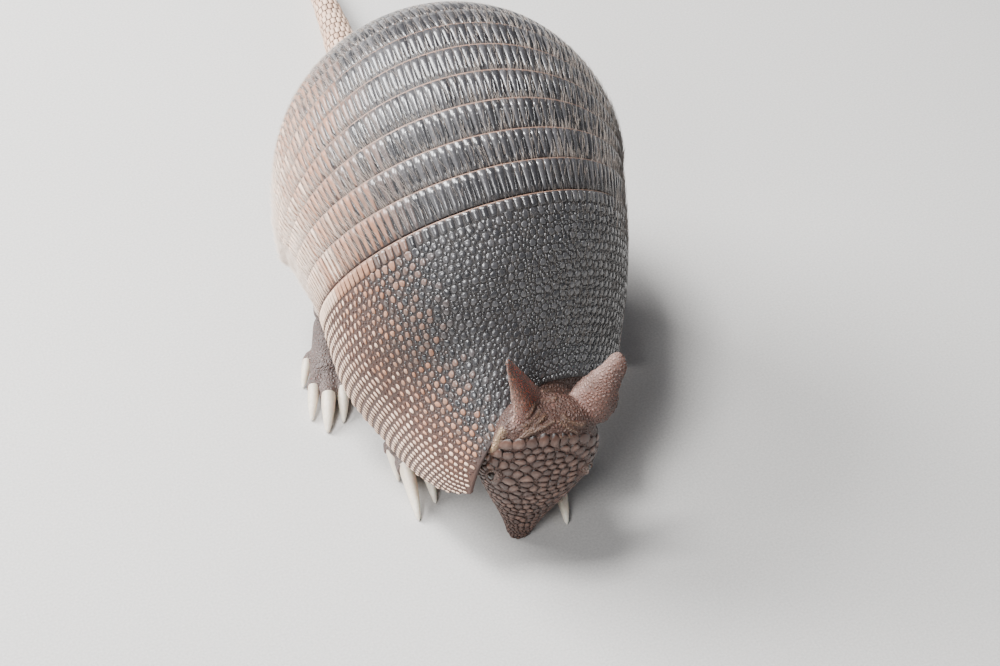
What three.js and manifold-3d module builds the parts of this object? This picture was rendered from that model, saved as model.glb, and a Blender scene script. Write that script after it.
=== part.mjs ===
// A nine-banded armadillo standing with its nose to the floor, as a still, life-size model.
// Units are millimetres. +Z is up and the animal faces -Y, so its left side is +X.
// Shell plates, claws, ears, eyes, legs and tail lengths are separate solids with thin cuts between them.
import * as THREE from "three";
import { mergeVertices } from "three/addons/utils/BufferGeometryUtils.js";
import Module from "manifold-3d";

const wasm = await Module();
wasm.setup();

const rad = THREE.MathUtils.degToRad;
const vec = (x, y, z) => new THREE.Vector3(x, y, z);

// ---- Driving dimensions ----
const cut = 0.3; // gap between neighbouring solids
const smallestStep = 0.06; // steps finer than this are smoothed away

const shellThickness = 4.5;
const shoulderLength = 84; // lengths are taken along the middle of the back
const bandPitch = 15;
const bandCount = 9;
const rumpLength = 100;
const shellLength = shoulderLength + bandCount * bandPitch + rumpLength;
const bandCut = 0.5; // groove between two plates
const bandLift = 0.9; // rise of a band towards its rear edge
const archSteps = 14; // facets across the back

// The middle of the back, from the neck edge to the root of the tail.
const backPoints = [
  vec(0, -46, 85.5),
  vec(2.2, -30.4, 111.5),
  vec(1.2, -17.8, 137.4),
  vec(0, 2.4, 157.9),
  vec(0, 27.3, 172.9),
  vec(1.1, 53.8, 184.3),
  vec(3.8, 82.2, 188),
  vec(7.2, 109.4, 179),
  vec(10.3, 132.1, 161.4),
  vec(12.4, 149.6, 138.5),
  vec(13.5, 162.1, 112.4),
  vec(13.8, 170.5, 84.6),
];

// Cross-sections along the back, from 0 at the neck edge to 1 at the tail. halfWidth is at the widest level and
// arch is the height above it, lean tips the section's foot backwards, yaw turns it to the left, reach is how far
// round the shell goes in degrees, belly is the depth of the body under its widest level and sag is the belly's lean.
const bodyStations = [
  { at: 0, halfWidth: 43.5, arch: 36, lean: 5, yaw: -19, reach: 92, belly: 19, sag: 1 },
  { at: 0.03, halfWidth: 48.5, arch: 48, lean: 11, yaw: -14.5, reach: 105, belly: 21, sag: 3 },
  { at: 0.09, halfWidth: 57.5, arch: 67, lean: 19, yaw: -7, reach: 111, belly: 25, sag: 7 },
  { at: 0.18, halfWidth: 69, arch: 82, lean: 24.5, yaw: -4.5, reach: 108, belly: 37, sag: 10 },
  { at: 0.27, halfWidth: 74, arch: 82, lean: 27, yaw: -1.2, reach: 102, belly: 47, sag: 11 },
  { at: 0.36, halfWidth: 78.5, arch: 87, lean: 22.5, yaw: 1, reach: 102, belly: 53, sag: 9 },
  { at: 0.46, halfWidth: 82, arch: 95, lean: 10, yaw: 4, reach: 103, belly: 53, sag: 4 },
  { at: 0.55, halfWidth: 82.7, arch: 95, lean: -1.5, yaw: 6.5, reach: 104, belly: 52, sag: -1 },
  { at: 0.64, halfWidth: 81.3, arch: 87, lean: -12, yaw: 7.5, reach: 105, belly: 49, sag: -7 },
  { at: 0.73, halfWidth: 79.5, arch: 81, lean: -23.5, yaw: 7, reach: 105, belly: 43, sag: -17 },
  { at: 0.82, halfWidth: 72.5, arch: 75, lean: -36, yaw: 6, reach: 105, belly: 35, sag: -31 },
  { at: 0.91, halfWidth: 60, arch: 64, lean: -49, yaw: 4, reach: 105, belly: 25, sag: -46 },
  { at: 1, halfWidth: 42, arch: 44, lean: -63, yaw: 0, reach: 105, belly: 17, sag: -62 },
];
const frontLobe = 9; // how far the shell's front edge sweeps forward at its sides
const frontLobeEnd = 0.12;
const trunkFront = 0.1; // where the trunk starts and ends along the shell
const trunkRear = 0.965;
const trunkSteps = 10;

// The head hangs nose down from the nape. Its own frame has x to the animal's left, y out of the forehead and
// z from the nape towards the nose.
const napeOrigin = vec(-5.6, -73.8, 82);
const noseLine = vec(-4.9, 7.2, -72).normalize();
const faceTurn = -8; // degrees the face is turned to the animal's right

// at is the distance from the nape, crown and jaw are the upper and lower edges and widest is the level between.
const headStations = [
  { at: -4, halfWidth: 12, crown: -8, jaw: -22, widest: -14 },
  { at: -2, halfWidth: 16.5, crown: -4.5, jaw: -24, widest: -13 },
  { at: 2, halfWidth: 20, crown: -0.8, jaw: -27, widest: -11 },
  { at: 12, halfWidth: 25, crown: 0.5, jaw: -33, widest: -11 },
  { at: 24, halfWidth: 27.3, crown: 1, jaw: -37, widest: -13 },
  { at: 35, halfWidth: 26, crown: 0.7, jaw: -35, widest: -13 },
  { at: 45, halfWidth: 22, crown: -0.8, jaw: -31, widest: -13 },
  { at: 55, halfWidth: 17.2, crown: -2.8, jaw: -27, widest: -13 },
  { at: 65, halfWidth: 12.2, crown: -4.6, jaw: -23.5, widest: -13 },
  { at: 75, halfWidth: 7.8, crown: -6.2, jaw: -19.3, widest: -12.5 },
  { at: 85, halfWidth: 4.5, crown: -8.2, jaw: -16.5, widest: -12.5 },
];
const headSteps = 12;
const headShieldThickness = 1.8;
const headShieldRise = 0.5; // of its outer face over the skin
const headShieldDroop = 6; // how much lower its rear edge lies at the sides
const headShieldStations = [
  { at: 2, reach: 52 },
  { at: 10, reach: 60 },
  { at: 22, reach: 57 },
  { at: 34, reach: 41 },
  { at: 46, reach: 42 },
  { at: 58, reach: 42 },
  { at: 68, reach: 28 },
  { at: 72.5, reach: 12 },
];

const eyeRadius = 4.2;
const eyeAt = 29.5;
const eyeAngle = 53; // from the forehead round to the eye
const eyeDepth = 2.8; // of its centre under the skin

// An ear is a curled sheet, leaning along axis from the back of its base with its opening towards facing.
// Its stations give the radius and curl of its section from base to tip.
const earThickness = 1.5;
const earSteps = 8;
const earHindShare = 0.75; // curl of its rear half against the front half
const ears = {
  left: {
    base: vec(10.1, -62.4, 80.8),
    axis: vec(0.59, 0.07, 0.8),
    facing: vec(0.74, 0.5, -0.45),
    sign: 1,
    length: 33.8,
    stations: [
      { at: 0, radius: 9.9, curl: 103 },
      { at: 0.15, radius: 10.9, curl: 93 },
      { at: 0.3, radius: 11, curl: 82 },
      { at: 0.48, radius: 10.1, curl: 68 },
      { at: 0.66, radius: 9.1, curl: 53 },
      { at: 0.84, radius: 8.3, curl: 49 },
      { at: 0.95, radius: 6.9, curl: 43 },
      { at: 1, radius: 5.7, curl: 27 },
    ],
  },
  right: {
    base: vec(-0.6, -57.1, 80),
    axis: vec(-0.49, 0.01, 0.87),
    facing: vec(-0.83, 0.45, -0.32),
    sign: -1,
    length: 42,
    stations: [
      { at: 0, radius: 16.2, curl: 94 },
      { at: 0.15, radius: 15.5, curl: 90 },
      { at: 0.3, radius: 13.8, curl: 84 },
      { at: 0.48, radius: 11.5, curl: 69 },
      { at: 0.66, radius: 8.9, curl: 62 },
      { at: 0.84, radius: 6.4, curl: 56 },
      { at: 0.95, radius: 4.8, curl: 44 },
      { at: 1, radius: 4, curl: 24 },
    ],
  },
};

// The tail, as centre and radius, from inside the rump to the tip.
const tailPoints = [
  vec(13.6, 139, 88),
  vec(13.8, 148, 72),
  vec(14, 159, 54.5),
  vec(14.5, 174, 38),
  vec(15.4, 195, 24.5),
  vec(17, 222, 16.2),
  vec(19.8, 255, 12.4),
  vec(24, 298, 9.5),
  vec(29, 348, 6.9),
  vec(32.5, 396, 4.6),
  vec(33.5, 438, 2.8),
  vec(32, 468, 1.5),
];
const tailRadii = [
  { at: 0, radius: 20 },
  { at: 0.08, radius: 21 },
  { at: 0.17, radius: 19.6 },
  { at: 0.27, radius: 16.8 },
  { at: 0.37, radius: 14 },
  { at: 0.5, radius: 11 },
  { at: 0.63, radius: 8.2 },
  { at: 0.76, radius: 5.8 },
  { at: 0.88, radius: 3.8 },
  { at: 1, radius: 1.6 },
];
const tailSteps = 10;
const tailRingCount = 16; // bony rings, each a little proud at its rear edge
const tailRingEnd = 0.72;
const tailRingStep = 0.06; // share of the radius
const tailTipPlaces = [0.74, 0.82, 0.9, 0.96, 1]; // sections of the plain tip
const tailGroove = 0.002; // share of the tail's length between one ring's rear edge and the next ring
const tailLengths = [
  { name: "tail_root", rings: [0, 5] },
  { name: "tail_middle", rings: [5, 9] },
  { name: "tail_rear", rings: [9, 13] },
  { name: "tail_tip", rings: [13, 16] },
];

// ---- Small helpers ----

// A smooth value between stations, by cubic Hermite pieces.
function between(stations, at, key) {
  const last = stations.length - 1;
  let i = 0;
  while (i < last - 1 && at > stations[i + 1].at) i++;
  const [p, q] = [stations[i], stations[i + 1]];
  const slope = (j) => {
    const a = stations[Math.max(0, j - 1)];
    const b = stations[Math.min(last, j + 1)];
    return (b[key] - a[key]) / (b.at - a.at);
  };
  const span = q.at - p.at;
  const t = THREE.MathUtils.clamp((at - p.at) / span, 0, 1);
  const [t2, t3] = [t * t, t * t * t];
  return (
    (2 * t3 - 3 * t2 + 1) * p[key] +
    (t3 - 2 * t2 + t) * span * slope(i) +
    (3 * t2 - 2 * t3) * q[key] +
    (t3 - t2) * span * slope(i + 1)
  );
}

const range = (count) => Array.from({ length: count }, (_, i) => i);
const steps = (from, to, count) => range(count + 1).map((i) => from + ((to - from) * i) / count);

// Triangles that close a ring made of an outer row and a returning inner row.
function stripCap(count) {
  const last = 2 * count + 1;
  return range(count).flatMap((i) => [
    [i, i + 1, last - i],
    [i + 1, last - i - 1, last - i],
  ]);
}

// A closed skin over rings of equal length. Each end is closed by the given triangles of ring indices,
// or by a fan round the ring's middle.
function skinOver(rings, capFaces) {
  const n = rings[0].length;
  const points = rings.flat();
  const faces = [];
  for (let r = 0; r < rings.length - 1; r++)
    for (let i = 0; i < n; i++) {
      const [a, b] = [r * n + i, r * n + ((i + 1) % n)];
      faces.push(a, b, b + n, a, b + n, a + n);
    }
  for (const r of [0, rings.length - 1]) {
    const first = r * n;
    let caps = capFaces;
    if (!caps) {
      const middle = vec(0, 0, 0);
      rings[r].forEach((p) => middle.addScaledVector(p, 1 / n));
      points.push(middle);
      const centre = points.length - 1 - first;
      caps = range(n).map((i) => [i, (i + 1) % n, centre]);
    }
    for (const [a, b, c] of caps) {
      const face = r === 0 ? [b, a, c] : [a, b, c];
      faces.push(...face.map((k) => k + first));
    }
  }
  const geometry = new THREE.BufferGeometry().setFromPoints(points);
  geometry.setIndex(faces);
  return geometry;
}

// A three.js geometry as a manifold solid, turned the right way out.
function solid(geometry) {
  const bare = geometry.clone();
  bare.deleteAttribute("normal");
  bare.deleteAttribute("uv");
  const merged = mergeVertices(bare, 1e-4);
  const vertProperties = new Float32Array(merged.attributes.position.array);
  const triVerts = new Uint32Array(merged.index.array);
  const build = () => new wasm.Manifold(new wasm.Mesh({ numProp: 3, vertProperties, triVerts }));
  const made = build();
  if (made.volume() > 0) return made;
  for (let i = 0; i < triVerts.length; i += 3)
    [triVerts[i], triVerts[i + 1]] = [triVerts[i + 1], triVerts[i]];
  return build();
}

// The largest piece of a body, without slivers left by a cut.
const largest = (body) => body.decompose().sort((a, b) => b.volume() - a.volume())[0];

const joined = (solids) => solids.reduce((a, b) => a.add(b));
const without = (body, cutters) => cutters.reduce((a, b) => a.subtract(b), body);

const worldSize = 1200;

// Everything below the floor is cut away, which leaves small flats at one level.
function aboveFloor(body) {
  const slab = new THREE.BoxGeometry(worldSize, worldSize, worldSize);
  return body.subtract(solid(slab.translate(0, 0, -worldSize / 2)));
}

// The part of a body above or below a level.
function part(body, level, above) {
  const slab = new THREE.BoxGeometry(worldSize, worldSize, worldSize);
  const shift = above ? level + cut / 2 - worldSize / 2 : level - cut / 2 + worldSize / 2;
  return body.subtract(solid(slab.translate(0, 0, shift)));
}

// The way a row of centres runs at each of them.
function directions(centres) {
  return centres.map((p, i) => {
    const next = centres[Math.min(i + 1, centres.length - 1)];
    return next.clone().sub(centres[Math.max(i - 1, 0)]).normalize();
  });
}

// A tube through centres, with a half width and half height at each.
function tube(centres, sizes, count, grow = 0, ways = directions(centres)) {
  const rings = centres.map((p, i) => {
    const along = ways[i];
    const side = vec(1, 0, 0).addScaledVector(along, -along.x).normalize();
    const up = along.clone().cross(side);
    const [a, b] = [sizes[i][0] + grow, sizes[i][1] + grow];
    return range(count).map((k) => {
      const turn = (2 * Math.PI * k) / count;
      return p.clone().addScaledVector(side, a * Math.cos(turn)).addScaledVector(up, b * Math.sin(turn));
    });
  });
  return solid(skinOver(rings));
}

// ---- The shell and the trunk under it ----

const backCurve = new THREE.CatmullRomCurve3(backPoints, false, "centripetal");

// A point of a cross-section: at runs along the back, angle goes round it, inset is the depth under the outer face.
function sectionPoint(at, angle, inset, withBelly) {
  const section = (key) => between(bodyStations, at, key);
  const [yaw, lean] = [rad(section("yaw")), rad(section("lean"))];
  const down = (tip, depth) =>
    vec(Math.sin(yaw) * Math.sin(tip), Math.cos(yaw) * Math.sin(tip), -Math.cos(tip)).multiplyScalar(depth);
  const side = vec(Math.cos(yaw), -Math.sin(yaw), 0);
  const onCurve = THREE.MathUtils.clamp(at, 0, 1);
  const point = backCurve.getPointAt(onCurve);
  point.addScaledVector(backCurve.getTangentAt(onCurve), (at - onCurve) * shellLength);
  const lobe = frontLobe * THREE.MathUtils.clamp(1 - at / frontLobeEnd, 0, 1) ** 2;
  point.addScaledVector(vec(-Math.sin(yaw), -Math.cos(yaw), 0), lobe * Math.abs(Math.sin(angle)));
  point.addScaledVector(side, (section("halfWidth") - inset) * Math.sin(angle));
  const fall = -Math.cos(angle);
  if (withBelly && fall > 0) {
    const belly = down(rad(section("sag")), fall * (section("belly") - inset));
    return point.add(down(lean, section("arch"))).add(belly);
  }
  return point.add(down(lean, section("arch") + fall * (section("arch") - inset)));
}

// One plate over the given places along the back, each lifted by its own amount.
function plate(sections, grow = 0) {
  const last = sections.length - 1;
  const rings = sections.map(([place, lift], i) => {
    const ends = i === 0 ? -grow : i === last ? grow : 0;
    const at = (place + ends) / shellLength;
    const reach = rad(between(bodyStations, at, "reach")) + grow / between(bodyStations, at, "arch");
    const angles = steps(-reach, reach, archSteps);
    const outer = angles.map((angle) => sectionPoint(at, angle, -lift - grow));
    const inner = angles.map((angle) => sectionPoint(at, angle, shellThickness + grow));
    return [...outer, ...inner.reverse()];
  });
  return solid(skinOver(rings, stripCap(archSteps)));
}

const levelSections = (from, to, count) => steps(from, to, count).map((place) => [place, 0]);
const bandStart = (i) => shoulderLength + i * bandPitch;

// A band starts a little sunk behind the plate in front and rises to its rear edge.
function bandSections(i) {
  const [from, to] = [bandStart(i) + bandCut / 2, bandStart(i + 1) - bandCut / 2];
  return [
    [from, -bandLift / 2],
    [to - 0.15 * bandPitch, bandLift],
    [to, bandLift / 2],
  ];
}

// Rings of the body under the shell, with the same facets as the plates above them.
function bodyRing(at, grow = 0) {
  const quarter = Math.PI / 2;
  const upper = steps(-quarter, quarter, archSteps - 2);
  const lower = steps(quarter, 3 * quarter, archSteps / 2).slice(1, -1);
  return [...upper, ...lower].map((angle) =>
    sectionPoint(at, angle, shellThickness + 4 * cut - grow, true),
  );
}

function trunkRings(grow) {
  const extra = grow / shellLength;
  return steps(trunkFront - extra, trunkRear + extra, trunkSteps).map((at) => bodyRing(at, grow));
}

// ---- The head ----

const headFrame = (() => {
  const face = vec(Math.sin(rad(faceTurn)), -Math.cos(rad(faceTurn)), 0);
  face.addScaledVector(noseLine, -face.dot(noseLine)).normalize();
  const left = face.clone().cross(noseLine);
  return new THREE.Matrix4().makeBasis(left, face, noseLine).setPosition(napeOrigin);
})();

function headPoint(at, angle, rise = 0) {
  const head = (key) => between(headStations, at, key);
  const across = (head("halfWidth") + rise) * Math.sin(angle);
  const [crown, jaw, widest] = [head("crown"), head("jaw"), head("widest")];
  const fall = Math.cos(angle);
  const height = fall > 0 ? (crown + rise - widest) * fall : (widest - jaw + rise) * fall;
  return vec(across, widest + height, at).applyMatrix4(headFrame);
}

function headBody(grow = 0) {
  const rings = headStations.map(({ at }) =>
    range(headSteps).map((k) => headPoint(at, (2 * Math.PI * k) / headSteps, grow)),
  );
  return solid(skinOver(rings));
}

function headShieldBody(grow = 0) {
  const count = 6;
  const rings = headShieldStations.map(({ at, reach }) => {
    const angles = steps(-rad(reach) - grow / 20, rad(reach) + grow / 20, count);
    const middle = headShieldStations[2].at;
    const droop = headShieldDroop * Math.max(0, 1 - at / middle);
    const stretch = at + Math.sign(at - middle) * grow;
    const row = (rise) =>
      angles.map((angle) => headPoint(stretch + droop * (angle / rad(reach)) ** 2, angle, rise));
    const [outer, inner] = [headShieldRise + grow, headShieldRise - headShieldThickness - grow];
    return [...row(outer), ...row(inner).reverse()];
  });
  return solid(skinOver(rings, stripCap(count)));
}

function eyeBody(side, grow = 0) {
  const centre = headPoint(eyeAt, side * rad(eyeAngle), -eyeDepth);
  return solid(new THREE.SphereGeometry(eyeRadius + grow, 10, 7).translate(...centre));
}

function earBody({ base, axis, facing, sign, length, stations }, grow = 0) {
  const along = axis.clone().normalize();
  const open = facing.clone().addScaledVector(along, -facing.dot(along)).normalize();
  const side = along.clone().cross(open).multiplyScalar(sign);
  const rings = stations.map(({ at, radius, curl }) => {
    const back = base.clone().addScaledVector(along, at * length);
    const row = (r, extra) =>
      steps(-rad(curl) - extra, earHindShare * rad(curl) + extra, earSteps).map((angle) =>
        back
          .clone()
          .addScaledVector(open, radius - r * Math.cos(angle))
          .addScaledVector(side, r * Math.sin(angle)),
      );
    const extra = grow / radius;
    return [...row(radius + grow, extra), ...row(radius - earThickness - grow, extra).reverse()];
  });
  return solid(skinOver(rings, stripCap(earSteps)));
}

// ---- Neck ----

const neckTurn = -20; // degrees the neck is turned to the animal's right

// The neck leaves the trunk under the shoulder shield and closes round the back of the head.
function neckBody(grow = 0) {
  const side = vec(Math.cos(rad(neckTurn)), -Math.sin(rad(neckTurn)), 0);
  const oval = (centre, halfWidth, up, down) =>
    bodyRing(0).map((_, k, { length }) => {
      const angle = -Math.PI / 2 + (2 * Math.PI * k) / length;
      const height = Math.cos(angle) > 0 ? up : down;
      const point = centre.clone().addScaledVector(side, halfWidth * Math.sin(angle));
      return point.add(vec(0, 0, height * Math.cos(angle)));
    });
  const rings = [
    oval(vec(-5, -66, 69), 14 + grow, 10 + grow, 14 + grow),
    oval(vec(-3, -58, 66), 21 + grow, 14 + grow, 18 + grow),
    oval(vec(0, -50, 62), 25 + grow, 20 + grow, 21 + grow),
    bodyRing(0.05, grow),
    bodyRing(trunkFront + (grow - cut) / shellLength, grow),
  ];
  return solid(skinOver(rings));
}

// ---- Legs, feet and claws ----

const limbSteps = 8;
const toeSteps = 5;
const clawSteps = 6;
const clawRoot = 0.16; // share of a claw's length that is held in its toe
const clawHook = 0.29; // rise of its middle as a share of its length
const clawSlimness = 0.82; // width against depth
const clawShape = [
  { at: 0, size: 1 },
  { at: 0.4, size: 0.9 },
  { at: 0.75, size: 0.6 },
  { at: 1, size: 0.22 },
];

// A claw from the end of its toe to its tip, slightly hooked and narrower than deep.
function claw(from, to, radius, grow = 0) {
  const start = from.clone().lerp(to, -clawRoot);
  const rise = clawHook * from.distanceTo(to);
  const points = clawShape.map(({ at }) => start.clone().lerp(to, at).add(vec(0, 0, rise * at * (1 - at))));
  const sizes = clawShape.map(({ size }) => [size * radius * clawSlimness, size * radius]);
  return tube(points, sizes, clawSteps, grow);
}

// Fore foot: wrist and toes in the foot's own plan, x outward from the body's middle and y forward.
const foreFoot = {
  level: 21,
  leg: [
    [vec(0, -20, 74), 17, 21],
    [vec(2, -12, 56), 15, 18],
    [vec(3, -6, 38), 11.5, 13],
    [vec(1, -2, 22), 9.5, 9.5],
    [vec(0, 3, 12), 10.5, 8],
    [vec(0, 8, 8.5), 10, 6.5],
  ],
  toes: [
    { from: vec(-8, 4, 8), to: vec(-10, 10, 6.5), tip: vec(-11, 20, 0.6), size: 4, nail: 2.6 },
    { from: vec(-4, 7, 8.5), to: vec(-5, 14, 8.5), tip: vec(-6, 31, 0.7), size: 4.8, nail: 3.6 },
    { from: vec(3.5, 7, 8.5), to: vec(4.2, 16, 9), tip: vec(4, 40, 0.9), size: 5.4, nail: 4.3 },
    { from: vec(7, -5, 8), to: vec(8, 1, 7), tip: vec(7.5, 14, 0.6), size: 4.4, nail: 3.2 },
  ],
};

const hindFoot = {
  level: 24,
  leg: [
    [vec(-8, -8, 82), 18, 30],
    [vec(-6, -4, 64), 17, 25],
    [vec(-2, -6, 44), 13, 17],
    [vec(-1, -14, 27), 9.5, 10.5],
    [vec(0, -15, 13), 9, 9],
  ],
  sole: [
    [vec(0, -23, 7.5), 6.5, 6.5],
    [vec(0, -15, 8.5), 9, 8.8],
    [vec(0, 2, 8), 9.5, 8.2],
    [vec(0, 22, 6.8), 10.5, 6.6],
  ],
  toes: [
    { from: vec(-8, 10, 6), to: vec(-10, 18, 5.5), tip: vec(-11, 29, 0.6), size: 4, nail: 3 },
    { from: vec(-5, 18, 6.5), to: vec(-7, 29, 6.4), tip: vec(-7.4, 44, 0.8), size: 4.8, nail: 3.7 },
    { from: vec(0, 20, 6.5), to: vec(0, 34, 6.8), tip: vec(0, 51, 0.9), size: 5.2, nail: 4.4 },
    { from: vec(5, 18, 6.5), to: vec(7.2, 28, 6.3), tip: vec(7.8, 43, 0.8), size: 4.7, nail: 3.6 },
    { from: vec(8, 3, 6), to: vec(11, 9, 5.5), tip: vec(12.5, 21, 0.6), size: 4, nail: 3 },
  ],
};

// Where each foot stands: its middle, the way it points in degrees outward, and the shift of the leg's top.
const stances = {
  fore_left: { plan: foreFoot, side: 1, place: vec(15, -17, 0), turn: -8, reach: vec(20, 10, 0) },
  fore_right: { plan: foreFoot, side: -1, place: vec(-42, 6, 0), turn: 6, reach: vec(-5, 8, 0) },
  hind_left: { plan: hindFoot, side: 1, place: vec(62, 86, 0), turn: 14, reach: vec(-4, 10, 0) },
  hind_right: { plan: hindFoot, side: -1, place: vec(-56, 81, 0), turn: 19, reach: vec(4, 10, 0) },
};

function limb({ plan, side, place, turn, reach }) {
  const swing = rad(turn);
  const placed = (p) => {
    const x = p.x * Math.cos(swing) + p.y * Math.sin(swing);
    const y = p.y * Math.cos(swing) - p.x * Math.sin(swing);
    return vec(place.x + side * x, place.y - y, p.z);
  };
  const top = plan.leg[0][0].z;
  const leg = plan.leg.map(([p]) => {
    const share = Math.max(0, (p.z - plan.level) / (top - plan.level));
    return placed(p).addScaledVector(reach, share);
  });
  const bodies = [tube(leg, plan.leg.map(([, a, b]) => [a, b]), limbSteps)];
  if (plan.sole) {
    bodies.push(tube(plan.sole.map(([p]) => placed(p)), plan.sole.map(([, a, b]) => [a, b]), limbSteps));
  }
  const nails = [];
  const sockets = [];
  for (const { from, to, tip, size, nail } of plan.toes) {
    const toe = [from, to].map(placed);
    bodies.push(tube(toe, [[size, size], [size * 0.85, size * 0.85]], toeSteps));
    nails.push(aboveFloor(claw(placed(to), placed(tip), nail)));
    sockets.push(claw(placed(to), placed(tip), nail, cut));
  }
  const whole = aboveFloor(joined(bodies));
  return {
    leg: part(whole, plan.level, true),
    foot: largest(without(part(whole, plan.level, false), sockets)),
    nails,
  };
}

// ---- The tail ----

const tailCurve = new THREE.CatmullRomCurve3(tailPoints, false, "centripetal");
const tailSplit = cut / tailCurve.getLength() / 2;

// Two rings for each bony ring of the tail, then plain ones to the tip.
function tailSections([first, end]) {
  const sections = [];
  for (let i = first; i < end; i++) {
    const [from, to] = [i, i + 1].map((k) => (k * tailRingEnd) / tailRingCount);
    sections.push([from + tailGroove, 1 - tailRingStep], [to, 1]);
  }
  sections[0][0] += tailSplit - tailGroove;
  if (end < tailRingCount) sections.at(-1)[0] -= tailSplit;
  else sections.push(...tailTipPlaces.map((at) => [at, 1 - tailRingStep]));
  return sections;
}

function tailLength(rings, grow = 0) {
  const sections = tailSections(rings);
  const centres = sections.map(([at]) => tailCurve.getPointAt(at));
  const sizes = sections.map(([at, share]) => {
    const radius = between(tailRadii, at, "radius") * share;
    return [radius, radius];
  });
  const ways = sections.map(([at]) => tailCurve.getTangentAt(at));
  return tube(centres, sizes, tailSteps, grow, ways);
}

// ---- Assembly ----

const finishes = {
  shell: { color: 0x55504e, roughness: 0.5, metalness: 0 },
  skin: { color: 0x8a6f68, roughness: 0.75, metalness: 0 },
  claw: { color: 0xe6dccd, roughness: 0.45, metalness: 0 },
  eye: { color: 0x0c0a0a, roughness: 0.1, metalness: 0 },
};

const model = new THREE.Group();
model.name = "nine_banded_armadillo";

function addPart(name, body, finish) {
  const made = body.simplify(smallestStep).getMesh();
  const geometry = new THREE.BufferGeometry();
  geometry.setAttribute("position", new THREE.BufferAttribute(made.vertProperties, 3));
  geometry.setIndex(new THREE.BufferAttribute(made.triVerts, 1));
  geometry.computeVertexNormals();
  const mesh = new THREE.Mesh(geometry, new THREE.MeshStandardMaterial(finishes[finish]));
  mesh.name = name;
  model.add(mesh);
}

const shoulderSections = levelSections(0, shoulderLength - bandCut / 2, 6);
const rumpSections = levelSections(bandStart(bandCount) + bandCut / 2, shellLength, 6);
addPart("shoulder_shield", plate(shoulderSections), "shell");
for (let i = 0; i < bandCount; i++) addPart(`band_${i + 1}`, plate(bandSections(i)), "shell");
addPart("rump_shield", plate(rumpSections), "shell");

const trunk = solid(skinOver(trunkRings(0)));
const trunkCutter = solid(skinOver(trunkRings(cut)));
const headCutter = headBody(cut);
const shoulderCutter = plate(shoulderSections, cut);
const rumpCutter = plate(rumpSections, cut);
const sides = { left: 1, right: -1 };

addPart("trunk", without(trunk, [tailLength(tailLengths[0].rings, cut), rumpCutter]), "skin");
const neckCutters = [headCutter, headShieldBody(cut), ...Object.values(ears).map((e) => earBody(e, cut))];
addPart("neck", largest(without(neckBody(), [...neckCutters, shoulderCutter])), "skin");
const eyeSockets = Object.values(sides).map((side) => eyeBody(side, cut));
const headCutters = [headShieldBody(cut), ...eyeSockets, shoulderCutter];
addPart("head", largest(aboveFloor(without(headBody(), headCutters))), "skin");
addPart("head_shield", without(headShieldBody(), eyeSockets), "shell");
for (const [side, sign] of Object.entries(sides)) {
  const earCutters = [headCutter, headShieldBody(cut), shoulderCutter];
  addPart(`ear_${side}`, largest(without(earBody(ears[side]), earCutters)), "skin");
  addPart(`eye_${side}`, eyeBody(sign), "eye");
}
for (const [place, stance] of Object.entries(stances)) {
  const { leg, foot, nails } = limb(stance);
  const legCutters = [trunkCutter, neckBody(cut), rumpCutter, shoulderCutter];
  addPart(`leg_${place}`, largest(without(leg, legCutters)), "skin");
  addPart(`foot_${place}`, foot, "skin");
  nails.forEach((nail, i) => addPart(`claw_${place}_${i + 1}`, nail, "claw"));
}
for (const { name, rings } of tailLengths) addPart(name, aboveFloor(tailLength(rings)), "skin");

// The origin is the middle of the floor under the whole model.
const box = new THREE.Box3().setFromObject(model);
const middle = box.getCenter(vec(0, 0, 0));
for (const mesh of model.children) mesh.geometry.translate(-middle.x, -middle.y, -box.min.z);

export default model;
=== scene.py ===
import math

import bpy
import numpy as np
from mathutils import Matrix, Vector, kdtree


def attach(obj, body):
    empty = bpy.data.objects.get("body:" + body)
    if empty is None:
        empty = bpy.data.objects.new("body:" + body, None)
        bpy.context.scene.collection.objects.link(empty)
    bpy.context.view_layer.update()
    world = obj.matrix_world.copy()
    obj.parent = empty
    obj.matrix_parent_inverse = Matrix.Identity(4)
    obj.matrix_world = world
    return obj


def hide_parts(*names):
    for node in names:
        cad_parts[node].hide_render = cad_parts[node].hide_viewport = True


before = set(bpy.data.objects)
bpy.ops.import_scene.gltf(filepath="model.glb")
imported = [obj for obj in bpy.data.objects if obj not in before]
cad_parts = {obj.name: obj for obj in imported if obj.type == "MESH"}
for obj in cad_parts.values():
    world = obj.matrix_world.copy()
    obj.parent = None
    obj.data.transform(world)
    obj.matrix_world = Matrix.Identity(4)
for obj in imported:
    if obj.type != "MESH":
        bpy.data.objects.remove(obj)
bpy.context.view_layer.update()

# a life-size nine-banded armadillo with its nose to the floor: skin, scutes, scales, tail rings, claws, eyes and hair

mm = 0.001
rowOffset = np.array([-3.2, -197.0, 0.0])  # moves the sections' own places to the middle of the floor
luck = np.random.default_rng(9)
print("frame loaded")


camera = {
    "azimuth": -23.4,
    "elevation": 43.6,
    "roll": 3.5,
    "distance": 1.0,
    "lens": 80.7,
    "target": (-0.00733, -0.20374, 0.08178),
}


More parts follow.
